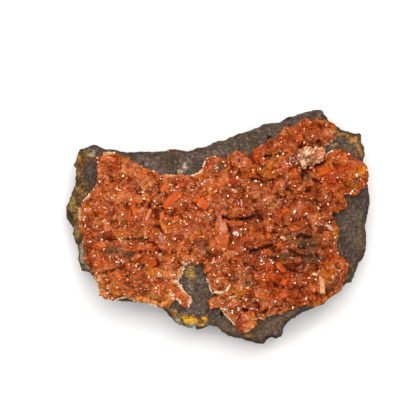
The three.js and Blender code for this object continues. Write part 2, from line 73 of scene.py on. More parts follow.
# ------------------------------------------------------------------ studio
# A white table under two broad soft lights, from straight above and from the far side, with pale
# light from all round, a fainter lamp on each side, and three small lamps that make the faces
# sparkle. The camera looks straight down.
MM = 0.001
VIEW_CENTRE = Vector((-3.2 * MM, 6.8 * MM, 10 * MM))
VIEW_HEIGHT = 2.6  # metres over the table
VIEW_SIDE = 168 * MM  # what the square picture takes in
SENSOR = 36.0
TABLE_REACH = 4  # metres from its middle to its edges
LIGHTS = {  # direction towards each, strength, width in degrees, colour, and whether polished faces mirror it
    "key_light": ((0.04, 0.46, 0.88), 1.7, 46, "#FFFDF8", False),
    "overhead_light": ((0.0, 0.06, 1.0), 1.15, 84, "#FFFFFF", False),
    "left_light": ((-0.80, 0.10, 0.58), 0.34, 34, "#FFF2E4", True),
    "right_light": ((0.80, 0.06, 0.60), 0.34, 34, "#FFF2E4", True),
    "spark_left": ((-0.46, 0.22, 0.86), 0.29, 7, "#FFECD8", True),
    "spark_right": ((0.36, 0.50, 0.79), 0.29, 7, "#FFE4C8", True),
    "spark_near": ((0.10, -0.36, 0.93), 0.17, 9, "#F6E8E0", True),
}
ROOM_STRENGTH = 0.33
ROOM_COLOUR = "#FBFBF8"
TABLE_COLOUR = "#F5F7FA"


def linear(code):
    """An sRGB hex colour as the linear values that Blender's sockets take."""
    parts = [int(code[k:k + 2], 16) / 255 for k in (1, 3, 5)]
    return tuple(c / 12.92 if c <= 0.04045 else ((c + 0.055) / 1.055) ** 2.4 for c in parts) + (1.0,)


def add(tree, kind, settings=None, inputs=None):
    """Adds a node. settings are its own choices; each input gets a value, or the output that feeds it."""
    node = tree.nodes.new(kind)
    for name, value in (settings or {}).items():
        setattr(node, name, value)
    for socket, value in (inputs or {}).items():
        if isinstance(value, bpy.types.NodeSocket):
            tree.links.new(value, node.inputs[socket])
        else:
            node.inputs[socket].default_value = value
    return node


def new_material(name):
    """An empty node material, with its tree and output node."""
    material = bpy.data.materials.new(name)
    material.use_nodes = True
    material.node_tree.nodes.clear()
    return material, material.node_tree, material.node_tree.nodes.new("ShaderNodeOutputMaterial")


def place(name, mesh, material=None):
    """Puts a mesh in the scene as an object of that name, all in one material if that is given."""
    mesh.name = name
    if material:
        mesh.materials.clear()
        mesh.materials.append(material)
    piece = bpy.data.objects.new(name, mesh)
    scene.collection.objects.link(piece)
    return piece


for name, (towards, strength, width, colour, mirrored) in LIGHTS.items():
    lamp = bpy.data.lights.new(name, "SUN")
    lamp.energy = strength
    lamp.angle = math.radians(width)
    lamp.color = linear(colour)[:3]
    holder = bpy.data.objects.new(name, lamp)
    holder.rotation_euler = Vector(towards).to_track_quat("Z", "Y").to_euler()
    holder.visible_glossy = mirrored
    scene.collection.objects.link(holder)
scene.world = bpy.data.worlds.new("room")
scene.world.use_nodes = True
room = scene.world.node_tree.nodes["Background"]
room.inputs["Color"].default_value = linear(ROOM_COLOUR)
room.inputs["Strength"].default_value = ROOM_STRENGTH
scene.world.cycles_visibility.glossy = False
scene.view_settings.view_transform = "Standard"

camera_data = bpy.data.cameras.new("camera")
camera_data.sensor_width = SENSOR
camera_data.lens = SENSOR * (VIEW_HEIGHT - VIEW_CENTRE.z) / VIEW_SIDE
camera_data.clip_end = 10
camera = bpy.data.objects.new("camera", camera_data)
camera.location = (VIEW_CENTRE.x, VIEW_CENTRE.y, VIEW_HEIGHT)
scene.collection.objects.link(camera)
scene.camera = camera

floor_mesh = bpy.data.meshes.new("table")
table_corners = [(u * TABLE_REACH, v * TABLE_REACH, 0) for u, v in ((-1, -1), (1, -1), (1, 1), (-1, 1))]
floor_mesh.from_pydata(table_corners, [], [(0, 1, 2, 3)])
# Matt white board, a little cool.
table_paint, tree, out = new_material("matt_white_board")
board = add(tree, "ShaderNodeBsdfDiffuse", inputs={"Color": linear(TABLE_COLOUR)})
tree.links.new(board.outputs[0], out.inputs["Surface"])
table = place("table", floor_mesh, table_paint)
table.visible_glossy = False  # the margins' faces would otherwise mirror it and turn grey


# ------------------------------------------------------------------ the matrix
# The slab is a fine-grained dark rock, broken by hand on all sides. Its left rim and its far
# right corner are old weathered joints, crusted with knobs of ochre and olive earth.
ROCK_VOXEL = 0.7 * MM
ROCK_SMOOTHING = 3
ROCK_HACKLE = 0.6 * MM  # depth of the broken surface's relief on the sides
ROCK_CHIP = 0.5 * MM  # depth of the small chips along the edges
ROCK_TOOTH = 0.2 * MM  # depth of the fine tooth everywhere
KNOB_RISE = 1.0 * MM  # height of the earthy knobs
ROCK_SWELL = 0.2 * MM  # what the even mesh takes off the broken edges, put back
BREAKS = [  # size of the flat breaks on the sides, and how far they step
    (11.0 * MM, 1.7 * MM), (5.2 * MM, 0.9 * MM), (2.4 * MM, 0.35 * MM)]
ROCK_GIRTH = 9.5  # mm above the table where the slab is widest, and least broken up
GIRTH_REACH = 3.6  # mm above and below it where that holds
ROCK_DRIFT = 1.5  # mm that the lines between breaks and round patches waver
EARTH_DROP = 6.0  # mm that the earth runs down the sides
ROCK_TONES = ("#281D18", "#3C2F29", "#4E413A", "#60534B", "#928478")  # from its darkest grains to its palest
ROCK_BROWN = "#5A4430"
JOINT_TONE = "#6C5030"  # the skin of the old joints
EARTH_TONES = ("#1F180E", "#4C3820", "#80592C", "#BC8C4C")  # olive black, umber, ochre, golden


def fine_copy(node, voxel, rounds=0):
    """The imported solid's shape as one fine, even mesh, smoothed by so many rounds."""
    mesh = frame["nodes"][node].data.copy()
    merged = bmesh.new()
    merged.from_mesh(mesh)
    bmesh.ops.remove_doubles(merged, verts=merged.verts, dist=0.001 * MM)
    merged.to_mesh(mesh)
    merged.free()
    holder = place("holder", mesh)
    even = holder.modifiers.new("even", "REMESH")
    even.mode = "VOXEL"
    even.voxel_size = voxel
    fine = baked(holder)
    bpy.data.objects.remove(holder)
    if rounds:
        fine.vertices.foreach_set("co", smoothed(fine, rounds).ravel())
        fine.update()
    return fine


def baked(piece):
    """What a piece's modifiers make of it, as a plain mesh."""
    graph = bpy.context.evaluated_depsgraph_get()
    return bpy.data.meshes.new_from_object(
        piece.evaluated_get(graph), preserve_all_data_layers=True, depsgraph=graph)


def corners(mesh):
    """Its vertices' places and outward directions, as arrays."""
    places = np.empty(len(mesh.vertices) * 3)
    outward = np.empty(len(mesh.vertices) * 3)
    mesh.vertices.foreach_get("co", places)
    mesh.vertices.foreach_get("normal", outward)
    return places.reshape(-1, 3), outward.reshape(-1, 3)


def reshape(mesh, places):
    """Moves the vertices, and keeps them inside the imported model's box."""
    low, high = np.array(cad_box[0]), np.array(cad_box[1])
    mesh.vertices.foreach_set("co", np.clip(places, low, high).ravel())
    mesh.update()


def smoothed(mesh, rounds):
    """Each vertex drawn halfway towards the mean of its neighbours, again and again."""
    places, _ = corners(mesh)
    ends = np.empty(len(mesh.edges) * 2, int)
    mesh.edges.foreach_get("vertices", ends)
    a, b = ends.reshape(-1, 2).T
    count = np.bincount(a, minlength=len(places)) + np.bincount(b, minlength=len(places))
    for _ in range(rounds):
        total = np.zeros_like(places)
        for axis in range(3):
            total[:, axis] = (np.bincount(a, places[b, axis], len(places))
                              + np.bincount(b, places[a, axis], len(places)))
        places = 0.5 * places + 0.5 * total / count[:, None]
    return places


def grain(places, size, octaves, seed):
    """Smooth noise from -1 to 1 at each place, with humps about `size` across."""
    shift = Vector((seed * 7.31, seed * 3.17, seed * 5.71))
    if octaves > 1:
        return np.array([noise.fractal(Vector(p) / size + shift, 1.0, 2.0, octaves) for p in places])
    return np.array([noise.noise(Vector(p) / size + shift) for p in places])


def mark(mesh, name, values):
    """Keeps one number for each vertex, for a material to read."""
    layer = mesh.attributes.get(name) or mesh.attributes.new(name, "FLOAT", "POINT")
    layer.data.foreach_set("value", np.asarray(values, float))


def fracture(places, size, seed):
    """A hard rock's flat breaks, about `size` across: each place's height from -1 to 1, and its tone."""
    random = np.random.default_rng(seed)
    count = 32
    middle = random.random((count, count, count, 3))
    lean = random.uniform(-1, 1, (count, count, count, 3))
    cell = np.floor(places / size).astype(int)
    nearest = np.full(len(places), np.inf)
    height, tone = np.zeros((2, len(places)))
    for step in itertools.product((-1, 0, 1), repeat=3):
        there = cell + step
        pick = tuple((there % count).T)
        away = places / size - there - middle[pick]
        reach = (away ** 2).sum(1)
        closer = reach < nearest
        nearest = np.where(closer, reach, nearest)
        height = np.where(closer, 0.6 * lean[pick][:, 0] + 0.8 * (lean[pick] * away).sum(1), height)
        tone = np.where(closer, lean[pick][:, 1], tone)
    return height, tone


def patch(places, spots, ragged, seed, drop=None):
    """1 in the spots and 0 outside, with ragged edges. A spot is x, y, half width and half depth in mm.
    With a drop it also fades over that many mm down the side below it."""
    away = np.full(len(places), 9.0)
    for x, y, wide, deep in spots:
        flat = np.hypot((places[:, 0] / MM - x) / wide, (places[:, 1] / MM - y) / deep)
        if drop:
            below = places[flat < 1.1, 2].max(initial=0) - places[:, 2]
            flat = np.hypot(flat, np.clip(below / MM - 1.5, 0, None) / drop)
        away = np.minimum(away, flat)
    cover = np.zeros(len(places))
    near = np.flatnonzero(away < 2.2)
    cover[near] = np.clip(1.6 - 1.2 * (away[near] + ragged * grain(places[near], 2.2 * MM, 3, seed)), 0, 1)
    return cover


# Where the weathered joints carry knobs of earth: x, y, half width and half depth in mm.
EARTH = [
    (-54, 28, 3.4, 4.6), (-56.2, 21, 2.6, 7.4), (-55, 14.4, 4.2, 3.6), (-58.2, 9.4, 3, 5),
    (-58.5, 3.6, 3.2, 4.4), (-57.4, -5, 2.6, 8.6), (-54.2, -15.4, 3, 3.6), (53.6, 37.2, 5.6, 2),
    (57.8, 32, 1.8, 4.8), (45.4, 32.2, 1.6, 0.7), (38.6, 44.6, 2.4, 0.8), (43.8, 44, 1.8, 2.4),
    (-10.8, -18, 1.9, 2.8), (12, -43.8, 2.2, 1.6), (3.6, -42.8, 3.4, 1), (58.8, -6.6, 1, 5),
    (51.8, -18.6, 1.6, 4.6), (-12.6, -37.6, 4.6, 2.6), (-6.8, -38, 1.6, 2.2), (-18.4, -35, 1.6, 2)]
# Corners that stand out from the broken outline: x, y, half width, and how far out, in mm.
SPURS = [
    (-57.2, 28.6, 1.3, 2.6), (-57.6, 25.2, 1.8, 1.6), (-54.6, 31.2, 1.2, 1.5), (-50.2, 32.6, 1.6, 0.4),
    (-60.2, 5, 3.4, 0.8), (-57.8, 0, 2, 0.5), (-48.1, -21.4, 2, -0.7), (-16.6, -37.8, 2, 1),
    (-10.8, -40.2, 1.6, 1.3), (-4.1, -39.4, 1.8, -0.7), (0, -40.2, 2, -0.4), (9.4, -44.4, 2, -0.5),
    (26.1, -40.3, 2, -0.7), (30.6, -36, 2.4, -0.4), (42.1, -30.4, 2.2, 0.9), (49.4, -25.2, 2.6, 0.8),
    (54.6, -17.7, 2.4, 0.5), (58, -0.6, 2.2, -0.7), (59, 3.4, 2, 0.4), (56.6, 36.8, 1.6, 0.8),
    (24.3, 42.1, 2.6, -0.8), (12.5, 38.4, 2.4, -0.5), (0, 34.2, 2, 0.6), (-11.5, 30.1, 2, -0.5),
    (-28, 30.2, 4, -0.5), (-31, -30.4, 6, -0.5)]


def pushed_out(shift, spurs, amount, places):
    """A shift with the spurs added to it, each as far as the amount lets it at every place."""
    for x, y, wide, out in spurs:
        away = np.hypot(places[:, 0] / MM - x, places[:, 1] / MM - y)
        shift = shift + amount * out * MM * np.exp(-(away / wide) ** 2)
    return shift


rock_mesh = fine_copy("matrix", ROCK_VOXEL, ROCK_SMOOTHING)
places, outward = corners(rock_mesh)
steep = np.clip(1.3 - 1.5 * np.abs(outward[:, 2]), 0, 1)  # 1 on the sides and 0 on the flat
hackle = np.abs(grain(places, 7 * MM, 3, 1)) + 0.5 * np.abs(grain(places, 2.6 * MM, 2, 2))
chips = np.abs(grain(places, 2.4 * MM, 2, 10))
tooth = grain(places, 1.3 * MM, 2, 3)
drift = np.stack([grain(places, 3 * MM, 3, seed) for seed in (61, 62, 63)], 1) * ROCK_DRIFT * MM
steps = [(rise, *fracture(places + 0.6 * drift, size, 64 + k)) for k, (size, rise) in enumerate(BREAKS)]
free = 1 - np.exp(-((places[:, 2] / MM - ROCK_GIRTH) / GIRTH_REACH) ** 2)
stepped = free * sum(0.6 * rise * (height - 1.0) for rise, height, _ in steps)
earth = patch(places + drift, EARTH, 0.45, 4, EARTH_DROP)
knobs = np.clip(grain(places, 2.3 * MM, 2, 15) + 0.15, -0.4, 1)
broken = ROCK_HACKLE * (hackle - hackle.mean()) + ROCK_CHIP * (chips - chips.mean())
shift = KNOB_RISE * earth * knobs + steep * (ROCK_SWELL - broken + stepped) - ROCK_TOOTH * tooth
shift = pushed_out(shift, SPURS, steep, places)
reshape(rock_mesh, places + outward * shift[:, None])

# Stains on the rock, each with its spots, how ragged it is, and how far it runs down the sides in mm.
STAINS = {
    "ochre": ([
        (-53.6, 30.2, 1.2, 0.8), (-55.4, 14.8, 2, 1.4), (-10.8, -17.8, 3, 3.2),
        (-58.6, 9.4, 1.6, 3), (-56.6, -2, 1.2, 2.4), (-56.8, 5, 1, 2), (46, 32.8, 1.6, 1),
        (-13.2, -35.4, 2.8, 1.2), (-5.6, -37.6, 1.4, 2), (-17.4, -34.4, 1.2, 1.8)], 0.6, 3),
    "golden": ([
        (-56.2, 27.6, 1.4, 1.2), (55, 36.2, 4, 2.6), (57.2, 32.6, 2.4, 3.8),
        (12.2, -43.4, 1.4, 1), (-9.4, -40, 2.4, 1.2), (50.8, 38.4, 4, 1.9), (-26, 30.4, 7, 0.35),
        (-11, 31.2, 3, 0.3)], 0.6, 3),
    "pale": ([
        (-12.8, 24.6, 1, 1.6), (-15, 22, 1.6, 0.9), (-55.2, -10.6, 2.4, 4.4),
        (-53.6, -16.2, 3, 2.4), (-50.2, 29.2, 1.6, 1), (-15.4, -38.4, 2, 1.8),
        (-11.6, -39.6, 3, 1.2), (-9.4, -38.4, 1.2, 0.6), (-49.6, 29.6, 0.9, 1.4)], 0.8, 2),
    "tan": ([
        (20, -41, 9, 5), (30, -35, 6, 3.4), (4, -41, 7, 3), (57, -4, 2.4, 9),
        (-17.6, -32, 2.4, 2.4), (52, 30, 4, 4), (-7, -39, 4, 3)], 0.6, 8),
    "umber": ([
        (20, 41, 6, 2.2), (-20, 26.6, 5, 2), (49, 3.4, 2, 3), (-18.6, 23.6, 3, 2),
        (4.6, 37, 3.4, 1.4), (40, 45.8, 4, 1.4)], 0.7, 4),
    "sulphur": ([
        (-10.9, -37.2, 2.6, 1.7), (-13.6, -36, 0.8, 0.7), (-7.4, -39.3, 1.4, 0.7),
        (-5.4, -36.8, 0.8, 1.2)], 0.9, 1.6),
    "rust": ([
        (-16.4, 30.4, 4, 1.3), (11.2, 32, 0.9, 0.6), (-54.6, 24.6, 1.2, 1.2), (-7, 31, 4, 0.6),
        (-18, -34.6, 1, 1.4), (-6.6, -36.6, 1.6, 1.3), (-54.8, 28.2, 0.8, 1)], 0.7, 1),
    "glassy": ([
        (20.6, 35.8, 0.9, 1.2), (46.6, 4.8, 1.2, 0.8), (1.6, -34.4, 1.4, 1), (-30, 26, 0.5, 0.9)], 0.6, 1),
}
# Each stain's tones from its dark grains to its pale ones, and the strengths at which it starts and
# is full, in the order they are laid on.
STAIN_TONES = {
    "umber": (("#2E231B", "#4A392C"), 0.5, 2.2),
    "tan": (("#5C462E", "#866A4A"), 0.6, 2.4),
    "ochre": (("#64501F", "#9A7A38", "#C8A664"), 0.5, 1.6),
    "golden": (("#704C1C", "#A87830", "#DAA648"), 0.42, 1.4),
    "rust": (("#5A2E14", "#9A5426"), 0.7, 1.4),
    "pale": (("#6E6450", "#A69A80", "#CEC4AA"), 0.52, 1.5),
    "sulphur": (("#6E5014", "#E0A018", "#FACA34"), 0.55, 1.3),
    "glassy": (("#100E0C", "#181410"), 0.62, 1.1),
}
places, outward = corners(rock_mesh)
mark(rock_mesh, "earth", earth)
for seed, (name, (spots, ragged, drop)) in enumerate(STAINS.items()):
    mark(rock_mesh, name, patch(places + drift * 0.6, spots, ragged, 5 + seed, drop))
side = np.clip(1.25 - 1.5 * np.abs(outward[:, 2]), 0, 1)
mark(rock_mesh, "break_tone", side * (0.4 * steps[0][2] + 0.4 * steps[1][2] + 0.3 * steps[2][2]))
mark(rock_mesh, "joint", side * np.clip(0.35 + 1.6 * grain(places, 16 * MM, 3, 65), 0, 1))

# Weathered fine-grained rock: matt, with pale grains under a millimetre and soft brown clouds.
# The grains are drawn about twice as coarse as they are, so that they show.
rock_stone, tree, out = new_material("weathered_dark_limestone")
spot = add(tree, "ShaderNodeTexCoord").outputs["Object"]
clouds = add(tree, "ShaderNodeTexNoise", inputs={  # humps of about 7 mm
    "Vector": spot, "Scale": 150, "Detail": 5, "Roughness": 0.65})
stain = add(tree, "ShaderNodeTexNoise", inputs={  # of 3 mm
    "Vector": spot, "Scale": 330, "Detail": 5, "Roughness": 0.72})
mottle = add(tree, "ShaderNodeTexNoise", inputs={  # and of 1 mm
    "Vector": spot, "Scale": 900, "Detail": 5, "Roughness": 0.95})
break_tone = add(tree, "ShaderNodeAttribute", {"attribute_name": "break_tone"})
cloud_span = add(tree, "ShaderNodeMapRange", inputs={
    0: clouds.outputs["Fac"], 1: 0.3, 2: 0.7, 3: -0.24, 4: 0.2})
cloud_span = add(tree, "ShaderNodeMath", {"operation": "MULTIPLY_ADD"}, {
    0: break_tone.outputs["Fac"], 1: 0.3, 2: cloud_span.outputs[0]})
stain_span = add(tree, "ShaderNodeMapRange", inputs={
    0: stain.outputs["Fac"], 1: 0.5, 2: 0.75, 3: 0.0, 4: 0.6})
mottle_span = add(tree, "ShaderNodeMapRange", inputs={0: mottle.outputs["Fac"], 1: 0.36, 2: 0.64})


def blend_in(tree, factor, below, above):
    """The colour above laid over the colour below, where the factor is high."""
    mix = add(tree, "ShaderNodeMix", {"data_type": "RGBA"}, {"Factor": factor})
    for socket, colour in (("A", below), ("B", above)):
        target = next(s for s in mix.inputs if s.name == socket and s.type == "RGBA")
        if isinstance(colour, str):
            target.default_value = linear(colour)
        else:
            tree.links.new(colour, target)
    return next(s for s in mix.outputs if s.type == "RGBA")


def patch_factor(tree, name, pattern, low=0.62, high=1.1):
    """A patch's strength, broken up by a fine pattern. It is 0 wherever the patch is 0."""
    cover = add(tree, "ShaderNodeAttribute", {"attribute_name": name})
    ragged = add(tree, "ShaderNodeMath", {"operation": "MULTIPLY_ADD"}, {
        0: pattern, 1: 0.6, 2: cover.outputs["Fac"]})
    return add(tree, "ShaderNodeMapRange", inputs={0: ragged.outputs[0], 1: low, 2: high}).outputs[0]


def tone_scale(tree, factor, tones):
    """A run of tones, from the first where the factor is 0 to the last where it is 1."""
    ramp = add(tree, "ShaderNodeValToRGB", inputs={"Fac": factor})
    stops = ramp.color_ramp.elements
    while len(stops) < len(tones):
        stops.new(0.5)
    for k, tone in enumerate(tones):
        stops[k].position = k / (len(tones) - 1)
        stops[k].color = linear(tone)
    return ramp.outputs["Color"]


mottled = mottle_span.outputs[0]
grains = add(tree, "ShaderNodeMath", inputs={0: mottled, 1: cloud_span.outputs[0]})
colour = tone_scale(tree, grains.outputs[0], ROCK_TONES)
colour = blend_in(tree, stain_span.outputs[0], colour, ROCK_BROWN)
earth_blend = add(tree, "ShaderNodeMath", {"operation": "MULTIPLY_ADD"}, {
    0: stain.outputs["Fac"], 1: 0.8, 2: 0.0})
earth_blend = add(tree, "ShaderNodeMath", {"operation": "MULTIPLY_ADD"}, {
    0: mottle.outputs["Fac"], 1: 1.2, 2: earth_blend.outputs[0]})
earth_span = add(tree, "ShaderNodeMapRange", inputs={0: earth_blend.outputs[0], 1: 0.84, 2: 1.24})
colour = blend_in(tree, patch_factor(tree, "joint", mottled, 0.7, 2.4), colour, JOINT_TONE)
colour = blend_in(tree, patch_factor(tree, "earth", mottled), colour,
                  tone_scale(tree, earth_span.outputs[0], EARTH_TONES))
for name, (tones, low, high) in STAIN_TONES.items():
    grit = tone_scale(tree, mottled, tones)
    colour = blend_in(tree, patch_factor(tree, name, mottled, low, high), colour, grit)
dull = add(tree, "ShaderNodeMapRange", inputs={0: patch_factor(tree, "glassy", mottled), 3: 0.85, 4: 0.22})
bump = add(tree, "ShaderNodeBump", inputs={
    "Height": mottle.outputs["Fac"], "Strength": 0.7, "Distance": 0.5 * MM})
stone = add(tree, "ShaderNodeBsdfPrincipled", inputs={
    "Base Color": colour, "Roughness": dull.outputs[0], "IOR": 1.45, "Normal": bump.outputs[0]})
tree.links.new(stone.outputs[0], out.inputs["Surface"])

rock_mesh.shade_smooth()
rock = place("rock_slab", rock_mesh, rock_stone)
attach(rock, "root")
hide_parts("matrix")

# ------------------------------------------------------------------ the crystal sheet's bed
# The sheet the crystals stand in: wulfenite grown together over the rock, all blunt faces and
# seams. It is cracked along its ledges and broken off along its rim.
BED_VOXEL = 0.47 * MM
BED_SMOOTHING = 16
BED_SINK = 0.1 * MM  # how far the whole bed is pared down under its crystals
RIM_SWELL = 0.2 * MM  # what the smoothing takes off the sheet's edges, put back
# Where the sheet's edge stands further out or in: x, y, half width, and how far out, in mm.
RIM_SPURS = [
    (-45, -28.4, 1.6, 1.5), (-40.2, -29, 1.8, -0.7), (-47.2, -25.4, 1.8, 0.6), (42, -30, 2.6, 1.2),
    (47.6, -26.4, 2.6, 0.5), (-37, -29, 1.6, -0.4), (-29, -30.4, 2.4, -0.4), (7, -40.6, 1.8, 0.8),
    (10.8, -43.4, 1.4, -0.7), (18, -36.2, 2, -0.6), (-20.5, -32.2, 2.4, 0.5), (-45.6, -26, 2, 0.4),
    (50.4, -17.6, 3.4, 0.6), (37.4, -31.2, 3, 0.7), (48.4, -8.8, 2.6, -0.5), (-1.6, -33.4, 1.4, -0.4),
    (1.2, -33, 1.4, -0.8), (-21.4, -32.6, 2.6, 0.5)]
GAP_DEPTH = 0.5 * MM  # depth of the gaps between the blunt faces
BED_DRIFT = 1.1  # mm that the lines between them waver
BED_FACES = [  # size of the faces, their tilt, and how far they stand up and down
    (4.6 * MM, 0.2, 0.42 * MM), (2.3 * MM, 0.42, 0.3 * MM)]
# Cracks and dark seams, cut in, with painted shade along them: points in mm, then half width and depth in mm.
SEAMS = [
    ([(2.4, 4.2), (4.6, 3.4), (8.8, 3.2), (11.4, 3.4), (14, 4.4)], 0.7, 2),
    ([(25.6, 7.6), (25, 4), (26.8, 0)], 0.6, 1.4), ([(29.1, 2.2), (32.3, 3.2)], 0.5, 1.2),
    ([(13.5, -9.5), (18.5, -8.1), (22.2, -7)], 0.7, 2), ([(4.4, 0), (5.2, -2.8)], 0.6, 1.4),
    ([(31.8, -3.6), (36.8, -4)], 0.8, 1.8), ([(27.2, -14.8), (34, -15.2)], 0.6, 1.2),
    ([(22.2, -22.8), (23.4, -23.2)], 0.7, 1.8), ([(24.4, -29.5), (27.6, -29.5)], 0.5, 1),
    ([(8.6, -32.8), (11.4, -32.9)], 0.8, 2.4), ([(5.2, 16.4), (7, 15.4)], 0.6, 1.4),
    ([(12.6, 19.1), (16.7, 18.6), (19, 18), (21.7, 19.1), (22.6, 20.5)], 0.6, 1.8),
    ([(19, 28.2), (22.2, 28.2), (25, 29.2)], 0.8, 1.8), ([(36.8, 19), (40, 18.6)], 0.5, 1.2),
    ([(38.8, 10.8), (39.6, 9.6)], 0.7, 1.4), ([(33.8, 23), (33.8, 19.4)], 0.45, 1.8),
    ([(34, 22.8), (38, 24.2), (42.2, 26)], 0.55, 1.9), ([(33, 31.6), (34.6, 31.2)], 0.7, 1.9),
    ([(29.4, 28.2), (30.6, 27.8)], 0.7, 1.8), ([(-47.7, -18.2), (-43.2, -17.6), (-38.8, -16.1)], 0.55, 1.4),
    ([(-46.9, -4.3), (-43, -5.2), (-40.4, -5.1)], 0.5, 1.2), ([(-45.8, -2), (-45.6, -4.4)], 0.45, 0.9),
    ([(-35.4, -4.8), (-31.4, -4.9), (-27.3, -4.6)], 0.5, 1.2), ([(-36.8, -11.6), (-32.4, -10)], 0.9, 1.2),
    ([(-26, -0.6), (-23.2, 0.4)], 0.9, 1.1), ([(-39.2, 17.6), (-36.8, 19.6)], 0.5, 1),
    ([(-16.4, 10.2), (-14, 12.4), (-11.6, 12.4)], 0.5, 1), ([(-25, 12.8), (-24, 13.4)], 0.6, 1),
    ([(-27.6, -13.6), (-22, -16.8)], 0.5, 0.9), ([(28, -9.6), (33, -11.4), (37.6, -11.8)], 0.7, 1.2),
    ([(41, 2.8), (45.2, 2.4)], 0.45, 1), ([(-1.6, 6.4), (-0.8, 0)], 0.4, 1),
    ([(26.6, 15.2), (28, 14.8)], 0.7, 1.2), ([(19.6, -11.6), (23.4, -12.6)], 0.45, 0.9),
    ([(11.8, -27.6), (16.4, -30.6)], 0.5, 1), ([(-44.6, 10.2), (-42.2, 9.4)], 0.7, 1)]


def faceted(places, size, tilt, rise, seed):
    """The height of a ground of flat faces about `size` across, and how near each place is to an edge."""
    random = np.random.default_rng(seed)
    count = 64
    middle = random.random((count, count, 2))
    lean = random.uniform(-tilt, tilt, (count, count, 2))
    lift = random.uniform(-rise, rise, (count, count))
    cell = np.floor(places[:, :2] / size).astype(int)
    nearest, second = np.full((2, len(places)), np.inf)
    height = np.zeros(len(places))
    for step in itertools.product((-1, 0, 1), repeat=2):
        there = cell + step
        pick = tuple((there % count).T)
        away = places[:, :2] - (there + middle[pick]) * size
        reach = np.hypot(*away.T)
        closer = reach < nearest
        second = np.where(closer, nearest, np.minimum(second, reach))
        nearest = np.where(closer, reach, nearest)
        height = np.where(closer, lift[pick] + (lean[pick] * away).sum(1), height)
    return height, np.clip(1 - (second - nearest) / (0.3 * size), 0, 1)


def bed_relief(places):
    """The height of the sheet's blunt faces, how near each place is to a gap, and how coarse it is."""
    flat = places * (1, 1, 0)
    drift = np.stack([grain(flat, 2.6 * MM, 2, 11), grain(flat, 2.6 * MM, 2, 12), np.zeros(len(places))], 1)
    steps = [faceted(places + drift * BED_DRIFT * MM, size, tilt, rise, 30 + k)
             for k, (size, tilt, rise) in enumerate(BED_FACES)]
    coarse = patch(places, COARSE, 0.3, 41)
    gap = np.maximum((0.45 + 0.55 * coarse) * steps[0][1], 0.6 * steps[1][1])
    return (0.8 + 0.9 * coarse) * (steps[0][0] + steps[1][0]) - GAP_DEPTH * gap, gap, coarse


def seam_depth(places):
    """How deep the seams cut at each place, in metres, and how near each place is to one, from 0 to 1."""
    cut, near = np.zeros(len(places)), np.zeros(len(places))
    waver = np.stack([grain(places, 1.3 * MM, 2, 16), grain(places, 1.3 * MM, 2, 17)], 1)
    spot = places[:, :2] / MM + 0.7 * waver
    swell = 1.0 + 1.1 * grain(places * (1, 1, 0), 2.6 * MM, 1, 18)
    for points, half_width, depth in SEAMS:
        for a, b in zip(np.array(points[:-1]), np.array(points[1:])):
            along = np.clip(((spot - a) @ (b - a)) / ((b - a) @ (b - a)), 0, 1)
            away = np.hypot(*(spot - a - along[:, None] * (b - a)).T) / (half_width * swell)
            cut = np.maximum(cut, depth * np.clip(1.25 - away, 0, 1))
            near = np.maximum(near, np.clip(1.6 - away, 0, 1) * min(1.0, depth / 2.0))
    return cut * MM, near


# Where the crystals are coarser: x, y, half width and half depth in mm.
COARSE = [
    (30, 0, 26, 40), (44, 30, 16, 16), (10, 22, 14, 8), (-26, 8, 10, 8), (-40, 22, 6, 8), (-24, -12, 10, 6)]
bed_mesh = fine_copy("wulfenite_crust", BED_VOXEL, BED_SMOOTHING)
places, outward = corners(bed_mesh)
upper = np.clip(outward[:, 2] * 2 - 0.3, 0, 1)
relief, gap, coarse = bed_relief(places)
cut, near_seam = seam_depth(places)
places[:, 2] += upper * (relief * (1 - near_seam) - cut)
flank = np.clip(1 - 1.6 * np.abs(outward[:, 2]), 0, 1)
swell = pushed_out(RIM_SWELL * flank - BED_SINK, RIM_SPURS, flank, places)
reshape(bed_mesh, places + outward * swell[:, None])
places, outward = corners(bed_mesh)
off_seam = 1 - np.clip(near_seam * 1.8 - 0.8, 0, 1)
growth = np.clip((outward[:, 2] - 0.35) * 3, 0, 1) * off_seam * (1 - 0.7 * gap)

# The mean height of the sheet in cells, so that each crystal's low parts can be painted darker, as painted
# shade.
CELL = 1.6 * MM
CELLS = 96  # along each side of the square they cover


def cell_of(places):
    """The row and column of the cell that each place lies in."""
    return tuple(np.clip((places[:, :2] / CELL + CELLS / 2).astype(int), 0, CELLS - 1).T)


top = places[outward[:, 2] > 0.2]
flat = np.ravel_multi_index(cell_of(top), (CELLS, CELLS))
count = np.bincount(flat, minlength=CELLS * CELLS).reshape(CELLS, CELLS).astype(float)
total = np.bincount(flat, top[:, 2], CELLS * CELLS).reshape(CELLS, CELLS)
for _ in range(3):
    for axis in (0, 1):
        count = count + np.roll(count, 1, axis) + np.roll(count, -1, axis)
        total = total + np.roll(total, 1, axis) + np.roll(total, -1, axis)
mean_height = total / np.maximum(count, 1)
inside = np.clip((count / np.percentile(count[count > 1], 80) - 0.5) / 0.3, 0.2, 1)
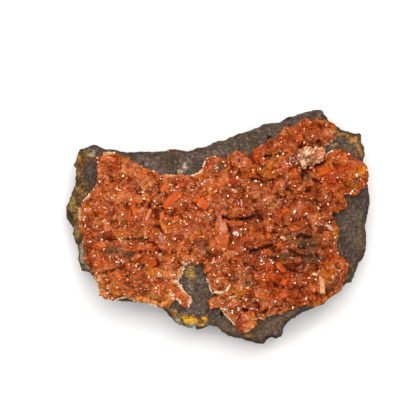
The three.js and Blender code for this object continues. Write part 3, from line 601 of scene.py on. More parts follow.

# Where the sheet changes colour: x, y, half width and half depth in mm. It is darkest in its deep, wine
# and olive zones, and its margins pale to peach where they thin out over the calcite. The bright zone and
# the last three peach spots are partly painted light, lifting south margins turned from the key light.
CRUST_ZONES = {
    "olive": [
        (-43.2, -9.6, 3, 2), (-35.4, -11.4, 2.6, 1.4), (34.8, -6.2, 5.4, 4.2), (26.8, -11.8, 5, 2.2),
        (37.4, -12, 4.6, 2.6), (1.2, 24.8, 2, 1.6), (-34, -4.8, 4, 0.6), (12, -22, 2.4, 1),
        (34.4, 20, 1.6, 2.2), (27.4, 15.2, 1.4, 1.2), (-24.8, 12.6, 0.7, 0.6), (20.6, 27.8, 2.6, 1)],
    "deep": [
        (34, 6, 24, 20), (52, 22, 9, 9), (36, -16, 20, 14), (12, -8, 12, 14), (10, 12, 12, 8),
        (36, 38, 14, 10), (4.6, -31.8, 3.8, 2.8), (-30, -20, 4, 3), (-48, -2, 3, 4), (23, 34, 4, 3),
        (-4, 0, 3, 3), (-39, -13, 5, 3), (5, -0.6, 3, 3), (31, 7, 4, 3), (-8, 11, 3.4, 3), (14, 20, 4, 3)],
    "wine": [
        (15, -10.4, 3.4, 2.6), (31, -17, 6.4, 2.6), (15, 4.4, 4, 1.6), (-25, 0, 2.4, 1.4),
        (40.6, -0.6, 1.6, 1.6), (37.4, 10.6, 2.6, 1.4), (-34.6, -10.6, 1.8, 1.2), (-43.6, -3.2, 2, 1.6),
        (16, 6.6, 3, 1.6), (32.4, -14.4, 3, 1.2), (23, -23, 1.4, 0.8), (54.6, 18.8, 1.6, 1.4),
        (12, -8.4, 2.6, 0.8), (-0.4, 22.4, 2.4, 1.4), (27, 10, 1.6, 1)],
    "amber": [
        (56.4, 21.8, 3, 3.6), (52.6, 18.4, 2.4, 2), (50.6, 26, 1.8, 1.6), (41, 42.2, 2.6, 1.2),
        (19.8, 21.4, 2.6, 2.2), (6.6, -26.4, 2.6, 2.4), (-44.4, -24.6, 4.6, 4), (-36, -27, 6, 1.8),
        (-23.6, -28.4, 7, 2.6), (-52.4, 7.2, 1.8, 1.8), (-19.4, -26.6, 1.6, 1.8), (-26, -18.4, 4, 2),
        (44.8, 38.6, 2.4, 1.6), (-44, -9.4, 2, 2), (48.6, 12.8, 2.2, 1.6), (44.6, 26.4, 3, 2.4),
        (-38, -4, 3.4, 2.2), (-47, -19, 2.8, 3), (47.4, -3, 2.4, 3.4), (46.6, -15, 3, 3),
        (40, -19, 3.2, 2.6), (51.6, 11.4, 2.4, 2.4), (23, 28.6, 3, 2.4)],
    "fiery": [(50, 22, 11, 9), (26, -20, 9, 7)],
    "gold": [
        (57.4, 21, 2, 3.6), (53.4, 18.6, 3.4, 4.8), (20.4, 20.4, 2.2, 1.8), (-23, 5, 1.2, 2.2),
        (3.2, -25, 1.6, 1.4), (-43.6, -26.6, 2.4, 1.6), (-32.6, -28.2, 4, 2), (6.8, -28, 2.8, 2),
        (13.6, -37.2, 2.4, 2.4), (33.4, 35.2, 2.4, 1.8), (27.4, 37.6, 2, 1.4), (44, -19.6, 2.2, 2.2),
        (42.6, -27.6, 2.6, 1.4)],
    "rose": [
        (0.6, 3, 1.8, 5), (9.2, 26.4, 3, 2.8), (15, 14.6, 4, 1.6), (-22, -5, 2, 2.6), (41.8, 30, 1, 1.6),
        (26, 18.6, 2, 1.6), (31.4, 8.6, 3, 1.6), (-12.4, -1.6, 3.4, 2.6)],
    "tan": [(-5.6, -8.6, 3, 3.2), (33, -2.4, 2.4, 1.2), (29, -4, 1.6, 2), (-38.4, -10.6, 2, 1.2)],
    "peach": [
        (-13, -14.8, 1.6, 1), (-15.4, -18.4, 0.8, 2.6), (-17.4, -21.6, 1.2, 1), (-13.4, -25.6, 1.6, 1.4),
        (-18.8, -27, 1.2, 1.8), (-11.6, -30.2, 0.7, 1.6), (-47.2, -20.8, 1, 1.8), (-44.6, -25.6, 0.9, 2),
        (-26.8, -30.6, 3, 0.7), (1.6, -26.6, 3.2, 0.6), (-54.8, 4, 0.6, 4.4), (-52.2, 12, 1.4, 0.9),
        (-7.6, 22.2, 2.4, 0.9), (-19, 20.6, 4.4, 0.5), (4, -35.4, 0.9, 2.6), (-3.4, -22.6, 0.5, 2.8),
        (-43.6, 29.2, 2.6, 0.5), (8.8, -18.6, 0.5, 2.4), (16, -36.4, 4, 0.5), (-28.4, -28.8, 4, 1.8),
        (-22, -30.8, 2.6, 1.4), (-16.6, -32.4, 2, 1.4)],
    # Partly painted light: the spots on the south margins lift faces turned away from the key light.
    "bright": [
        (-28, 16, 4, 3.4), (-20, -18.4, 4, 3), (-35, 23, 4, 3), (22, 10, 4, 3), (-12, -12, 3, 2.4),
        (-38, 12, 4, 3), (42, -23, 4, 3), (40, 3, 4, 3), (4, -10.6, 3.6, 2), (-30, -29.2, 6, 1.8),
        (-17, -32.2, 2.6, 2), (-37, -28, 4, 1.4), (43.4, 38, 2.4, 2), (50.4, 27, 3.4, 1.8),
        (47.4, -20.4, 2.4, 2.6), (12.4, -40, 2.4, 2)],
}

# Each zone's tone, and the strengths at which it starts and is full, in the order they are laid on.
ZONE_TONES = {
    "deep": ("#88320A", 0.6, 2.1), "fiery": ("#B84000", 0.3, 1.7), "gold": ("#D27E1C", 0.7, 1.9),
    "bright": ("#EC9458", 0.5, 1.7), "rose": ("#D0704C", 0.45, 1.4), "amber": ("#CE7826", 0.4, 1.8),
    "wine": ("#5A1A10", 0.45, 1.6), "tan": ("#936440", 0.45, 1.7), "peach": ("#EDB078", 0.5, 1.8),
    "olive": ("#694829", 0.35, 1.4),
}


def mark_zones(mesh):
    """Marks the zones of other colours, and the painted shade: how deep each vertex lies in the sheet, and
    how near a crack or gap.
    """
    places, _ = corners(mesh)
    for seed, (name, spots) in enumerate(CRUST_ZONES.items()):
        mark(mesh, name, patch(places, spots, 0.5, 20 + seed))
    # Painted shade: how far below the sheet round it each vertex lies.
    below = (mean_height[cell_of(places)] - places[:, 2]) / MM
    sunk = np.clip(0.3 + below / 2.2, 0, 1) * np.clip(1.3 - (below - 1.4) / 1.6, 0.35, 1)
    mark(mesh, "sunk", sunk * inside[cell_of(places)])
    mark(mesh, "crack", np.maximum(seam_depth(places)[1], 0.4 * bed_relief(places)[1]))


GLOW_DEPTH = 0.6 * MM  # how far light spreads inside the stone
# Painted shade: the sheet's low parts darken towards this deep red-brown.
LOW_SHADE_TONE = "#5A1604"
# Painted shade: cracks and the gaps between faces darken towards this near black.
CRACK_SHADE_TONE = "#380E04"


def dense_glass(tree, out, colour, gloss, polish, normal):
    """The stone's finish. It bends light strongly, and lets a little of it out again close by."""
    body = add(tree, "ShaderNodeBsdfPrincipled", inputs={
        "Base Color": colour, "Roughness": gloss.outputs[0], "IOR": 1.9, "Specular IOR Level": polish,
        "Normal": normal.outputs[0], "Subsurface Weight": 0.12, "Subsurface Radius": (1.0, 0.4, 0.1),
        "Subsurface Scale": GLOW_DEPTH})
    tree.links.new(body.outputs[0], out.inputs["Surface"])


# Wulfenite, lead molybdate: resinous to adamantine faces, see-through orange where it is thin.
# Each crystal has its own depth of colour, and small chips and growth steps break up its faces.
def wulfenite(name, shades, roughness, chipping, polish):
    """One finish of it: shades from deep to pale, its least and most roughness, and how chipped it is."""
    material, tree, out = new_material(name)
    spot = add(tree, "ShaderNodeTexCoord").outputs["Object"]
    tint = add(tree, "ShaderNodeAttribute", {"attribute_name": "tint"})
    sunk = add(tree, "ShaderNodeAttribute", {"attribute_name": "sunk"})
    flaws = add(tree, "ShaderNodeTexNoise", inputs={  # humps of 0.6 mm
        "Vector": spot, "Scale": 1700, "Detail": 2, "Roughness": 0.7})
    drifts = add(tree, "ShaderNodeTexNoise", inputs={  # of 5 mm
        "Vector": spot, "Scale": 210, "Detail": 3, "Roughness": 0.55})
    flaw_span = add(tree, "ShaderNodeMapRange", inputs={
        0: flaws.outputs["Fac"], 1: 0.3, 2: 0.7, 3: -0.32, 4: 0.34})
    drift_span = add(tree, "ShaderNodeMapRange", inputs={
        0: drifts.outputs["Fac"], 1: 0.34, 2: 0.66, 3: -0.1, 4: 0.3})
    depth = add(tree, "ShaderNodeMath", {"operation": "MULTIPLY_ADD"}, {
        0: tint.outputs["Fac"], 1: 0.66, 2: flaw_span.outputs[0]})
    depth = add(tree, "ShaderNodeMath", inputs={0: depth.outputs[0], 1: drift_span.outputs[0]})
    colour = tone_scale(tree, depth.outputs[0], shades)
    hues = add(tree, "ShaderNodeTexNoise", inputs={  # of 4 mm
        "Vector": spot, "Scale": 270, "Detail": 5, "Roughness": 0.68})
    channels = add(tree, "ShaderNodeSeparateColor", inputs={0: hues.outputs["Color"]}).outputs
    # Soft drifts of ochre, salmon and deep red run through it.
    for channel, tone, most in ((0, "#BE7020", 0.84), (1, "#E0865A", 0.78), (2, "#6C1E08", 0.74)):
        share = add(tree, "ShaderNodeMapRange", inputs={
            0: channels[channel], 1: 0.5, 2: 0.63, 3: 0.0, 4: most})
        colour = blend_in(tree, share.outputs[0], colour, tone)
    for zone, (tone, low, high) in ZONE_TONES.items():
        colour = blend_in(tree, patch_factor(tree, zone, tint.outputs["Fac"], low, high), colour, tone)
    # Painted shade: the low parts darken, and the cracks and gaps darken further.
    shaded = add(tree, "ShaderNodeMapRange", inputs={
        0: sunk.outputs["Fac"], 1: 0.32, 2: 0.94, 3: 0.0, 4: 0.8})
    colour = blend_in(tree, shaded.outputs[0], colour, LOW_SHADE_TONE)
    # Painted shade in the cracks and gaps.
    crack = add(tree, "ShaderNodeAttribute", {"attribute_name": "crack"})
    cracked = add(tree, "ShaderNodeMapRange", inputs={
        0: crack.outputs["Fac"], 1: 0.25, 2: 0.95, 3: 0.0, 4: 0.82})
    colour = blend_in(tree, cracked.outputs[0], colour, CRACK_SHADE_TONE)
    gloss = add(tree, "ShaderNodeMapRange", inputs={
        0: flaws.outputs["Fac"], 1: 0.3, 2: 0.7, 3: roughness[0], 4: roughness[1]})
    chips = add(tree, "ShaderNodeTexVoronoi", inputs={"Vector": spot, "Scale": 1700})  # 0.6 mm across
    centred = add(tree, "ShaderNodeVectorMath", {"operation": "SUBTRACT"}, {
        0: chips.outputs["Color"], 1: (0.5, 0.5, 0.5)})
    nudge = add(tree, "ShaderNodeVectorMath", {"operation": "SCALE"}, {0: centred.outputs[0], 3: chipping})
    face = add(tree, "ShaderNodeNewGeometry")
    leaned = add(tree, "ShaderNodeVectorMath", inputs={0: face.outputs["Normal"], 1: nudge.outputs[0]})
    normal = add(tree, "ShaderNodeVectorMath", {"operation": "NORMALIZE"}, {0: leaned.outputs[0]})
    dense_glass(tree, out, colour, gloss, polish, normal)
    return material


bed_stone = wulfenite("wulfenite_bed", ("#66240C", "#A8420E", "#CA5C1A", "#D67E46"), (0.2, 0.4), 0.45, 0.2)
crystal_stone = wulfenite(
    "wulfenite_crystal", ("#80270A", "#B5450C", "#D35E16", "#E37B34", "#F2AE7A"), (0.06, 0.24), 0.44, 0.7)

places, outward = corners(bed_mesh)
mark(bed_mesh, "tint", 0.5 + 0.5 * grain(places, 1.6 * MM, 2, 14))
mark_zones(bed_mesh)
bed_mesh.shade_smooth()
bed = place("crystal_sheet", bed_mesh, bed_stone)
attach(bed, "root")
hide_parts("wulfenite_crust")

# ------------------------------------------------------------------ the large crystals
# The crystals that stand out one by one: flat square plates lying in the sheet, blades and
# columns on edge, a salmon spire, a pale spar of barite, and stubby orange blocks.
BRIGHT = "#CA5416"  # the tone of the cleanest blocks
# Each is x, y, length, width and thickness in mm, heading, rise and roll in degrees, form, tone.
LARGE = [
    (-18.6, 10.6, 7.8, 2.9, 1.8, 42, 4, 0, "slab", "#CE541A"),
    (-16.2, 12.4, 3.6, 2.4, 1.6, 30, 10, 6, "slab", "#C8561C"),
    (-21.6, 15.6, 3.6, 2.2, 1.6, 62, 12, 8, "slab", "#D25612"),
    (-37.2, 22, 5.8, 1.9, 1.8, 100, 10, 8, "slab", "#D87A3C"),
    (-30, 15.6, 3.2, 1.1, 1.2, -40, 10, 0, "slab", "#D07E42"),
    (-27.7, 5, 4.8, 1.2, 1.8, 65, 10, 6, "slab", "#D88050"),
    (-33.6, 6.6, 5.4, 1.6, 1.8, 105, 10, 10, "slab", "#CB5A24"),
    (-35, 4.8, 3.6, 1.2, 1.6, 88, 8, -10, "slab", "#C4521E"),
    (-22.3, 3.4, 5, 1.7, 2, 92, 6, 8, "slab", "#DC6A28"),
    (-21.7, -0.2, 3.8, 1.5, 1.9, 112, 6, 8, "slab", "#D0742C"),
    (-29, -2, 4.6, 1.5, 1.9, 92, 10, 0, "block", "#B4602A"),
    (-28.8, -3.9, 1.6, 1.5, 1.7, 90, 8, 0, "block", "#DB9A55"),
    (-5.8, 9.2, 4.8, 3.4, 1.8, -35, 16, 8, "slab", "#CE5616"),
    (-8.4, 11.2, 3.2, 1.9, 1.6, 35, 14, 0, "slab", "#CE5416"),
    (-42.4, 27, 3.6, 1.5, 1.6, -15, 12, 0, "slab", "#CC5C26"),
    (-1.8, -7, 3.4, 2.4, 2, 100, 10, -10, "slab", "#C45C24"),
    (26.5, 23.4, 3.6, 2.8, 2.4, 86, 10, 0, "slab", BRIGHT),
    (42.2, 22.4, 4.6, 3.4, 2, 22, -8, 8, "block", "#CC5412"),
    (50.3, 25.8, 3.2, 2.4, 2.2, 60, 18, 0, "block", "#D25A18"),
    (58, 23.2, 1.9, 1.5, 1.5, 80, 16, 0, "block", "#E8981C"),
    (57.9, 21.7, 1.6, 1.4, 1.5, 30, 20, 0, "block", "#E09020"),
    (19.8, 20.8, 3, 4, 2.4, 70, 14, 12, "block", "#AC5A18"),
    (22.2, 20.4, 2.4, 3.2, 2.2, 84, 10, -12, "block", "#A25016"),
    (15.6, 28.6, 5, 3.6, 2.6, 98, 22, 10, "block", "#AC3E10"),
    (17.6, 26, 3, 2.2, 2, 110, 18, 0, "block", "#B84C1C"),
    (6.2, 18.6, 3.4, 2.8, 2.2, 50, 22, 0, "block", "#AC3C10"),
    (41.3, -22.9, 7.2, 2.1, 1.9, 96, 3, 2, "spar", "#DEAE7C"),
    (11.6, -4.6, 5.4, 1.9, 1.8, 6, 10, 12, "slab", "#BC4A24"),
    (7.2, 1.4, 5.6, 1.8, 1.9, 5, 8, 10, "slab", "#B45024"),
    (19.8, -3.4, 3, 1.9, 1.9, 82, 14, 0, "block", "#D2500F"),
    (18.6, -9.9, 2.4, 1.5, 1.8, 60, 14, 0, "block", BRIGHT),
    (24.8, -16, 4.8, 2, 2, 128, 14, 8, "slab", "#D25416"),
    (19.6, -20.4, 2.4, 2, 1.9, 80, 18, 0, "block", "#C44E16"),
    (26.2, -21.9, 2.8, 2.5, 2.1, 65, 14, 0, "block", "#CA5218"),
    (38, -24.6, 3.2, 2, 2, 118, 14, 0, "block", "#D05218"),
    (25.8, -27, 3, 2.7, 2.2, 25, 20, 0, "block", "#C65430"),
    (30.8, 0, 4.8, 2.4, 1.9, 10, 10, 10, "slab", "#C4581E"),
    (41, -1, 2.8, 2.6, 2.4, 45, 20, 0, "block", "#3E0C0C"),
    (44, 0.4, 3.2, 0.7, 1.5, -28, 8, 20, "spar", "#D8C4B4"),
    (44.8, -0.8, 2.8, 0.6, 1.4, -22, 8, 10, "spar", "#CDB29C"),
    (32.3, 35.4, 3.6, 3.2, 2.6, 20, 24, 0, "block", "#BC5420"),
    (15.2, 12.6, 3.4, 2.6, 2.2, 15, 18, 0, "block", "#B4703C"),
    (6.6, 14.4, 2.6, 1.6, 1.6, -20, 14, 0, "slab", "#AE6838"),
    (15, 15.6, 3.2, 1.6, 1.7, 15, 12, 0, "slab", "#B85E34"),
    (26.6, 6.4, 3.4, 2.4, 2.1, 30, 16, 0, "block", "#C45620"),
    (24.6, 4.4, 2.6, 2, 1.9, 70, 16, 0, "block", "#BA4A1A"),
    (9.3, 9.4, 3.4, 0.9, 1.3, 94, 12, 0, "block", "#C88068"),
    (-26, -14.6, 3.2, 2.2, 1.9, 30, 16, 0, "slab", "#C04A14"),
    (-28.6, -13.4, 2.4, 1.8, 1.7, 80, 16, 0, "block", "#C4460F"),
    (-30.6, -8.4, 3.6, 1.7, 1.8, 12, 12, 0, "slab", "#BE5022"),
    (33.4, -1.6, 3, 1.4, 1.6, -12, 12, 0, "slab", "#A8582A"),
    (31.6, -13, 3, 2.4, 2.1, 10, 14, 0, "block", "#9A5030"),
    (35, -16.6, 2.2, 1.6, 1.7, 70, 14, 0, "block", "#A85A38"),
    (47, -12.6, 3.6, 1.6, 1.8, 60, 12, 0, "slab", "#C0521E"),
    (49.2, -15.4, 3.2, 1.6, 1.8, 96, 12, 0, "slab", "#B84A1C"),
    (45, -18, 2.2, 1.6, 1.6, 40, 14, 0, "block", "#C4501C"),
    (-43.6, -2.8, 3.4, 2.8, 2, 20, 12, 0, "block", "#74281C"),
    (-48.4, -2.6, 2.8, 1.8, 1.6, 20, 14, 0, "slab", "#C85A34"),
    # These near-white blocks stand where glints catch the light: their tones are painted highlight.
    (6.7, -2.4, 1.5, 1.3, 1.8, 20, 14, 24, "block", "#F0E4DC"),
    (7.8, -2.9, 1.4, 1.2, 1.9, 60, 24, 10, "block", "#E6D2C4"),
    (25.5, -4, 1.4, 1.1, 1.8, 60, 14, -20, "block", "#E6D0C4"),
    (26.5, -4.8, 1.3, 1.1, 1.8, 20, 24, 10, "block", "#C89A80"),
    (38.6, -18.8, 2, 1.3, 1.3, -30, 14, 0, "spar", "#D2A892"),
    (45.6, -19.8, 0.9, 2, 1.2, 10, 14, 0, "spar", "#D09A80"),
    (8.2, -32.6, 0.9, 1.6, 1.6, 0, 4, 0, "spar", "#D8CABC"),
    # This lilac slab is a painted reflection: a soft glint given as the crystal's tone.
    (-22.4, -4.4, 1.7, 2, 1.5, 55, 8, 0, "slab", "#C48A84"),
    # These pale blocks on the south margins, which turn away from the key light, are painted light.
    (-28.6, -29, 3.4, 2, 1.6, 10, 6, 0, "block", "#E8964C"),
    (-25.4, -29.8, 2.8, 1.8, 1.5, -20, 8, 0, "block", "#E89A54"),
    (-31.4, -28.4, 3, 1.8, 1.6, 30, 8, 0, "block", "#DE8838"),
    (-22.2, -30.8, 2.4, 1.6, 1.4, 60, 8, 0, "block", "#E49A60"),
    (42.4, -28.6, 2.8, 1.4, 1.4, 30, 8, 0, "block", "#DC7A30")]
# x, y, spread in mm, and how many faces catch the light there.
GLINTS = [
    (-44.2, 2.4, 1.5, 6), (-40.6, 15.2, 1.2, 4), (-29.6, 11.6, 0.6, 2), (-21.4, 11.6, 0.6, 2),
    (-45.8, -2.2, 0.6, 2), (-34, -4.6, 0.9, 3), (-38.6, -5, 0.8, 2), (-6.2, -3.6, 0.7, 3),
    (7.2, -2.6, 0.8, 3), (26, -4.2, 0.8, 3), (17.6, -12.4, 1.6, 6), (20.8, -13.4, 1.2, 4),
    (18, -18.8, 0.9, 3), (19.6, -25.4, 0.8, 3), (14.8, -29, 1, 3), (47.6, -10.6, 0.4, 3),
    (48.4, -17.2, 0.4, 2), (38.8, -18.6, 0.7, 2), (23.6, 28.4, 0.4, 3), (25.9, 29.2, 0.4, 3),
    (36.6, 41.4, 0.6, 3), (43.4, 40.8, 0.4, 2), (27, 10.4, 0.6, 2), (-2, 9.4, 0.5, 2), (9.4, -23.8, 0.4, 2),
    (5.6, -20, 0.4, 2), (20.4, 0, 0.8, 2), (20.6, 5.6, 0.7, 3), (39.6, 7.2, 0.6, 2), (43.6, 9, 0.5, 2),
    (-4, 5.2, 0.8, 3), (-18.8, 1, 0.8, 2), (-25.2, -2.2, 0.8, 3), (-22, -4.4, 1, 3), (-32.8, -23.4, 0.5, 2),
    (-37, -26.8, 0.5, 2), (-44, -26, 0.6, 3), (-36.2, -20.6, 0.5, 2), (-53.2, 7, 0.5, 2),
    (-44.6, 7.8, 0.4, 2), (-44, -17, 0.4, 1), (27, 20, 0.6, 2), (24.2, 22.4, 0.4, 2), (12.4, 18.4, 0.4, 2),
    (27, -7.6, 0.5, 1), (-11, -16, 0.4, 1), (34.4, -22, 0.5, 2), (35.2, -28.6, 0.5, 2),
    (-12.4, 4.6, 0.8, 2), (-16, 16, 0.5, 2)]
STRAY_GLINTS = 380
GLINT_TONE = "#D49878"
GLINT_RISE = 0.75 * MM  # how far their middles stand over the bed
GLINT_SPARKS = ("spark_left", "spark_right", "spark_near")


def surface_of(mesh):
    """A tree that rays can be cast on."""
    return BVHTree.FromPolygons([v.co for v in mesh.vertices], [p.vertices for p in mesh.polygons])


bed_surface, rock_surface = surface_of(bed_mesh), surface_of(rock_mesh)


def height_at(x, y):
    """The sheet's height under a point in mm, else the rock's, and whether it is the sheet."""
    for surface, is_sheet in ((bed_surface, True), (rock_surface, False)):
        hit = surface.ray_cast(Vector((x * MM, y * MM, 0.2)), Vector((0, 0, -1)))[0]
        if hit:
            return hit.z, is_sheet
    return None, False


def jagged(shape, seed, amount):
    """The same form with each corner a little out of true, as a grown crystal's are."""
    random = np.random.default_rng(seed)
    return np.array(shape[0]) + random.uniform(-amount, amount, (len(shape[0]), 3)) * (1, 1, 0.6), shape[1]


def ringed(points, count):
    """A solid's points, in rings of so many each, and its faces, closed at both ends."""
    sides = [tuple(reversed(range(count))), tuple(len(points) - count + k for k in range(count))]
    for level in range(len(points) // count - 1):
        for k in range(count):
            a, b = count * level + k, count * level + (k + 1) % count
            sides.append((a, b, b + count, a + count))
    return points, sides


def prism(outline, rings):
    """A solid on one outline, with rings given as their scale and height."""
    return ringed([(x * scale, y * scale, z) for scale, z in rings for x, y in outline], len(outline))


CHIPPED = [(-0.5, -0.4), (0.34, -0.5), (0.5, -0.24), (0.48, 0.48), (-0.26, 0.5), (-0.5, 0.2)]
BROKEN = [(-0.5, -0.2), (-0.1, -0.5), (0.5, -0.44), (0.44, 0.24), (0.06, 0.5), (-0.46, 0.42)]
SQUARE = [(-0.5, -0.46), (0.0, -0.5), (0.5, -0.44), (0.48, 0.46), (-0.46, 0.5)]
LARGE_FORMS = {
    "slab": prism(CHIPPED, [(0.9, -0.5), (1.0, -0.3), (1.0, 0.4), (0.95, 0.5)]),
    "flake": prism(BROKEN, [(0.9, -0.5), (1.0, -0.3), (1.0, 0.4), (0.95, 0.5)]),
    "block": prism(SQUARE, [(0.7, -0.5), (1.0, -0.16), (0.96, 0.22), (0.62, 0.5)]),
    "spar": prism(SQUARE, [(0.9, -0.5), (1.0, 0.0), (0.86, 0.5)]),
    "face": prism(SQUARE, [(0.8, -0.4), (1.0, 0.0), (0.92, 0.1)]),
}
# The spire, tip first: y, then x of its left edge, crest and right edge and the crest's height over
# the sheet, in mm, and the tones of its left edge, crest and right edge. On its own salmon, the pale
# crest is a painted highlight and the darker left edge painted shade.
SPIRE = [
    (7.2, 0.10, 0.28, 0.46, 1.5, "#C46440", "#DC8866", "#D47A56"),
    (5, -0.28, 0.24, 0.64, 2.2, "#B04E2C", "#DC8A68", "#D47A56"),
    (2.8, -0.64, 0.5, 1.8, 2.5, "#A84826", "#E09474", "#DC8A68"),
    (2, -0.66, 0.9, 2.9, 2.6, "#A84826", "#E29C7C", "#DE8E6A"),
    (-0.8, -0.76, 1.1, 3.9, 2.6, "#B0502C", "#E29C7C", "#DA845C"),
    (-2.4, -0.7, 1, 3.6, 2.3, "#A8461E", "#B85A34", "#C05830"),
    (-3.4, -1.1, 1.4, 4.2, 2.4, "#C06A44", "#D27246", "#D65E20"),
    (-6.4, -1.5, 1.3, 4.1, 1.6, "#BE6236", "#CC6634", "#D05A1A"),
    (-8.2, -1.1, 1.1, 3.3, 0.5, "#BC5A26", "#CC622A", "#C8581E"),
    (-9.6, -0.6, 0.9, 2.4, -0.6, "#B45224", "#C05A28", "#C0561E")]
SPIRE_FOOT = 1.6  # mm that it reaches down into the sheet

vertices, faces, tones, lengthways, mirrors = [], [], [], [], []
random = np.random.default_rng(71)


def set_crystal(form, middle, turn, size, tone, seed):
    """Adds one large crystal to the lists."""
    shape, sides = jagged(LARGE_FORMS[form], seed, 0.05)
    start = len(vertices)
    vertices.extend(middle + turn @ Vector(corner * size) for corner in shape)
    faces.extend(tuple(start + k for k in side) for side in sides)
    tones.extend([linear(tone)] * len(shape))
    mirrors.extend([form == "face"] * len(sides))
    shift = Vector((seed * 1.7, seed * 0.9, 0))  # so that no two are striped alike
    lengthways.extend(Vector(corner * size / MM) * 0.8 + shift for corner in shape)


for seed, (x, y, length, breadth, thick, heading, rise, roll, form, tone) in enumerate(LARGE):
    turn = (Matrix.Rotation(math.radians(heading), 3, "Z") @ Matrix.Rotation(math.radians(-rise), 3, "Y")
            @ Matrix.Rotation(math.radians(roll), 3, "X"))
    ends = [Vector((x, y, 0)) + turn @ Vector((u * 0.3 * length, v * 0.3 * breadth, 0))
            for u in (-1, 1) for v in (-1, 1)]
    seat = np.median([height_at(p.x, p.y)[0] for p in ends])
    proud = 1.3 if form == "block" else 1.1  # mm that its upper face stands over the bed
    middle = Vector((x * MM, y * MM, seat + (proud - 0.5 * thick) * MM))
    set_crystal(form, middle, turn, np.array((length, breadth, thick)) * MM, tone, seed)
    # A long plate carries growth steps: thinner plates a little out of line with it.
    for step in range(int(length > 3.0) + int(length > 4.4) if form == "slab" else 0):
        along, across = random.uniform(-0.3, 0.3) * length, random.uniform(-0.3, 0.3) * breadth
        slide = turn @ Vector((along, across, 0.36 * thick)) * MM
        askew = turn @ Euler(random.uniform(-0.14, 0.14, 3)).to_matrix()
        long, wide = random.uniform(0.35, 0.6) * length, random.uniform(0.5, 0.8) * breadth
        size = np.array((long, wide, 0.5 * thick)) * MM
        set_crystal("flake", middle + slide, askew, size, tone, 400 + 3 * seed + step)
# Single faces that catch a lamp, anywhere on the sheet.
seats = random.choice(np.flatnonzero(growth > 0.8), STRAY_GLINTS)
places, _ = corners(bed_mesh)
stray = [(places[k][0] / MM, places[k][1] / MM, 0.0, 1) for k in seats]
# The spire, with its left edge, crest, right edge and buried keel at each level.
start = len(vertices)
for y, left, crest, right, tall, *edge_tones in SPIRE:
    z = np.median([height_at(x, y)[0] for x in (left - 0.6, crest, right + 0.6)])
    for x, rise, tone in (
            (left, 0.3, edge_tones[0]), (crest, tall, edge_tones[1]),
            (right, 0.4, edge_tones[2]), (crest, -SPIRE_FOOT, edge_tones[1])):
        vertices.append(Vector((x * MM, y * MM, z + rise * MM)))
        tones.append(linear(tone))
        lengthways.append(Vector((y, x, rise)))
for ring in range(len(SPIRE) - 1):
    for k in range(4):
        a, b = start + 4 * ring + k, start + 4 * ring + (k + 1) % 4
        faces.append((a, a + 4, b + 4, b))
faces += [tuple(start + k for k in (0, 1, 2, 3)), tuple(len(vertices) - 4 + k for k in (3, 2, 1, 0))]
mirrors.extend([False] * (len(faces) - len(mirrors)))
for k, (x, y, spread, count) in enumerate(GLINTS + stray):
    for n in range(count):
        light = Vector(LIGHTS[GLINT_SPARKS[(k + n) % 3]][0]).normalized()
        upright = (light + Vector((0, 0, 1))).normalized() + Vector(random.uniform(-0.03, 0.03, 3))
        spin = Matrix.Rotation(random.uniform(0, math.pi), 3, "Z")
        turn = upright.to_track_quat("Z", "Y").to_matrix() @ spin
        gx, gy = x + random.uniform(-spread, spread), y + random.uniform(-spread, spread) * 0.7
        size = np.array((random.uniform(0.5, 1.2), random.uniform(0.35, 0.7), 0.8)) * MM
        middle = Vector((gx * MM, gy * MM, height_at(gx, gy)[0] + GLINT_RISE))
        set_crystal("face", middle, turn, size, GLINT_TONE, 200 + k + n)

large_mesh = bpy.data.meshes.new("large_crystals")
large_mesh.from_pydata(vertices, [], faces)
large_mesh.update()
places, _ = corners(large_mesh)
reshape(large_mesh, places)
layer = large_mesh.attributes.new("tone", "FLOAT_COLOR", "POINT")
layer.data.foreach_set("color", np.array(tones).ravel())
layer = large_mesh.attributes.new("lengthways", "FLOAT_VECTOR", "POINT")
layer.data.foreach_set("vector", np.array(lengthways).ravel())

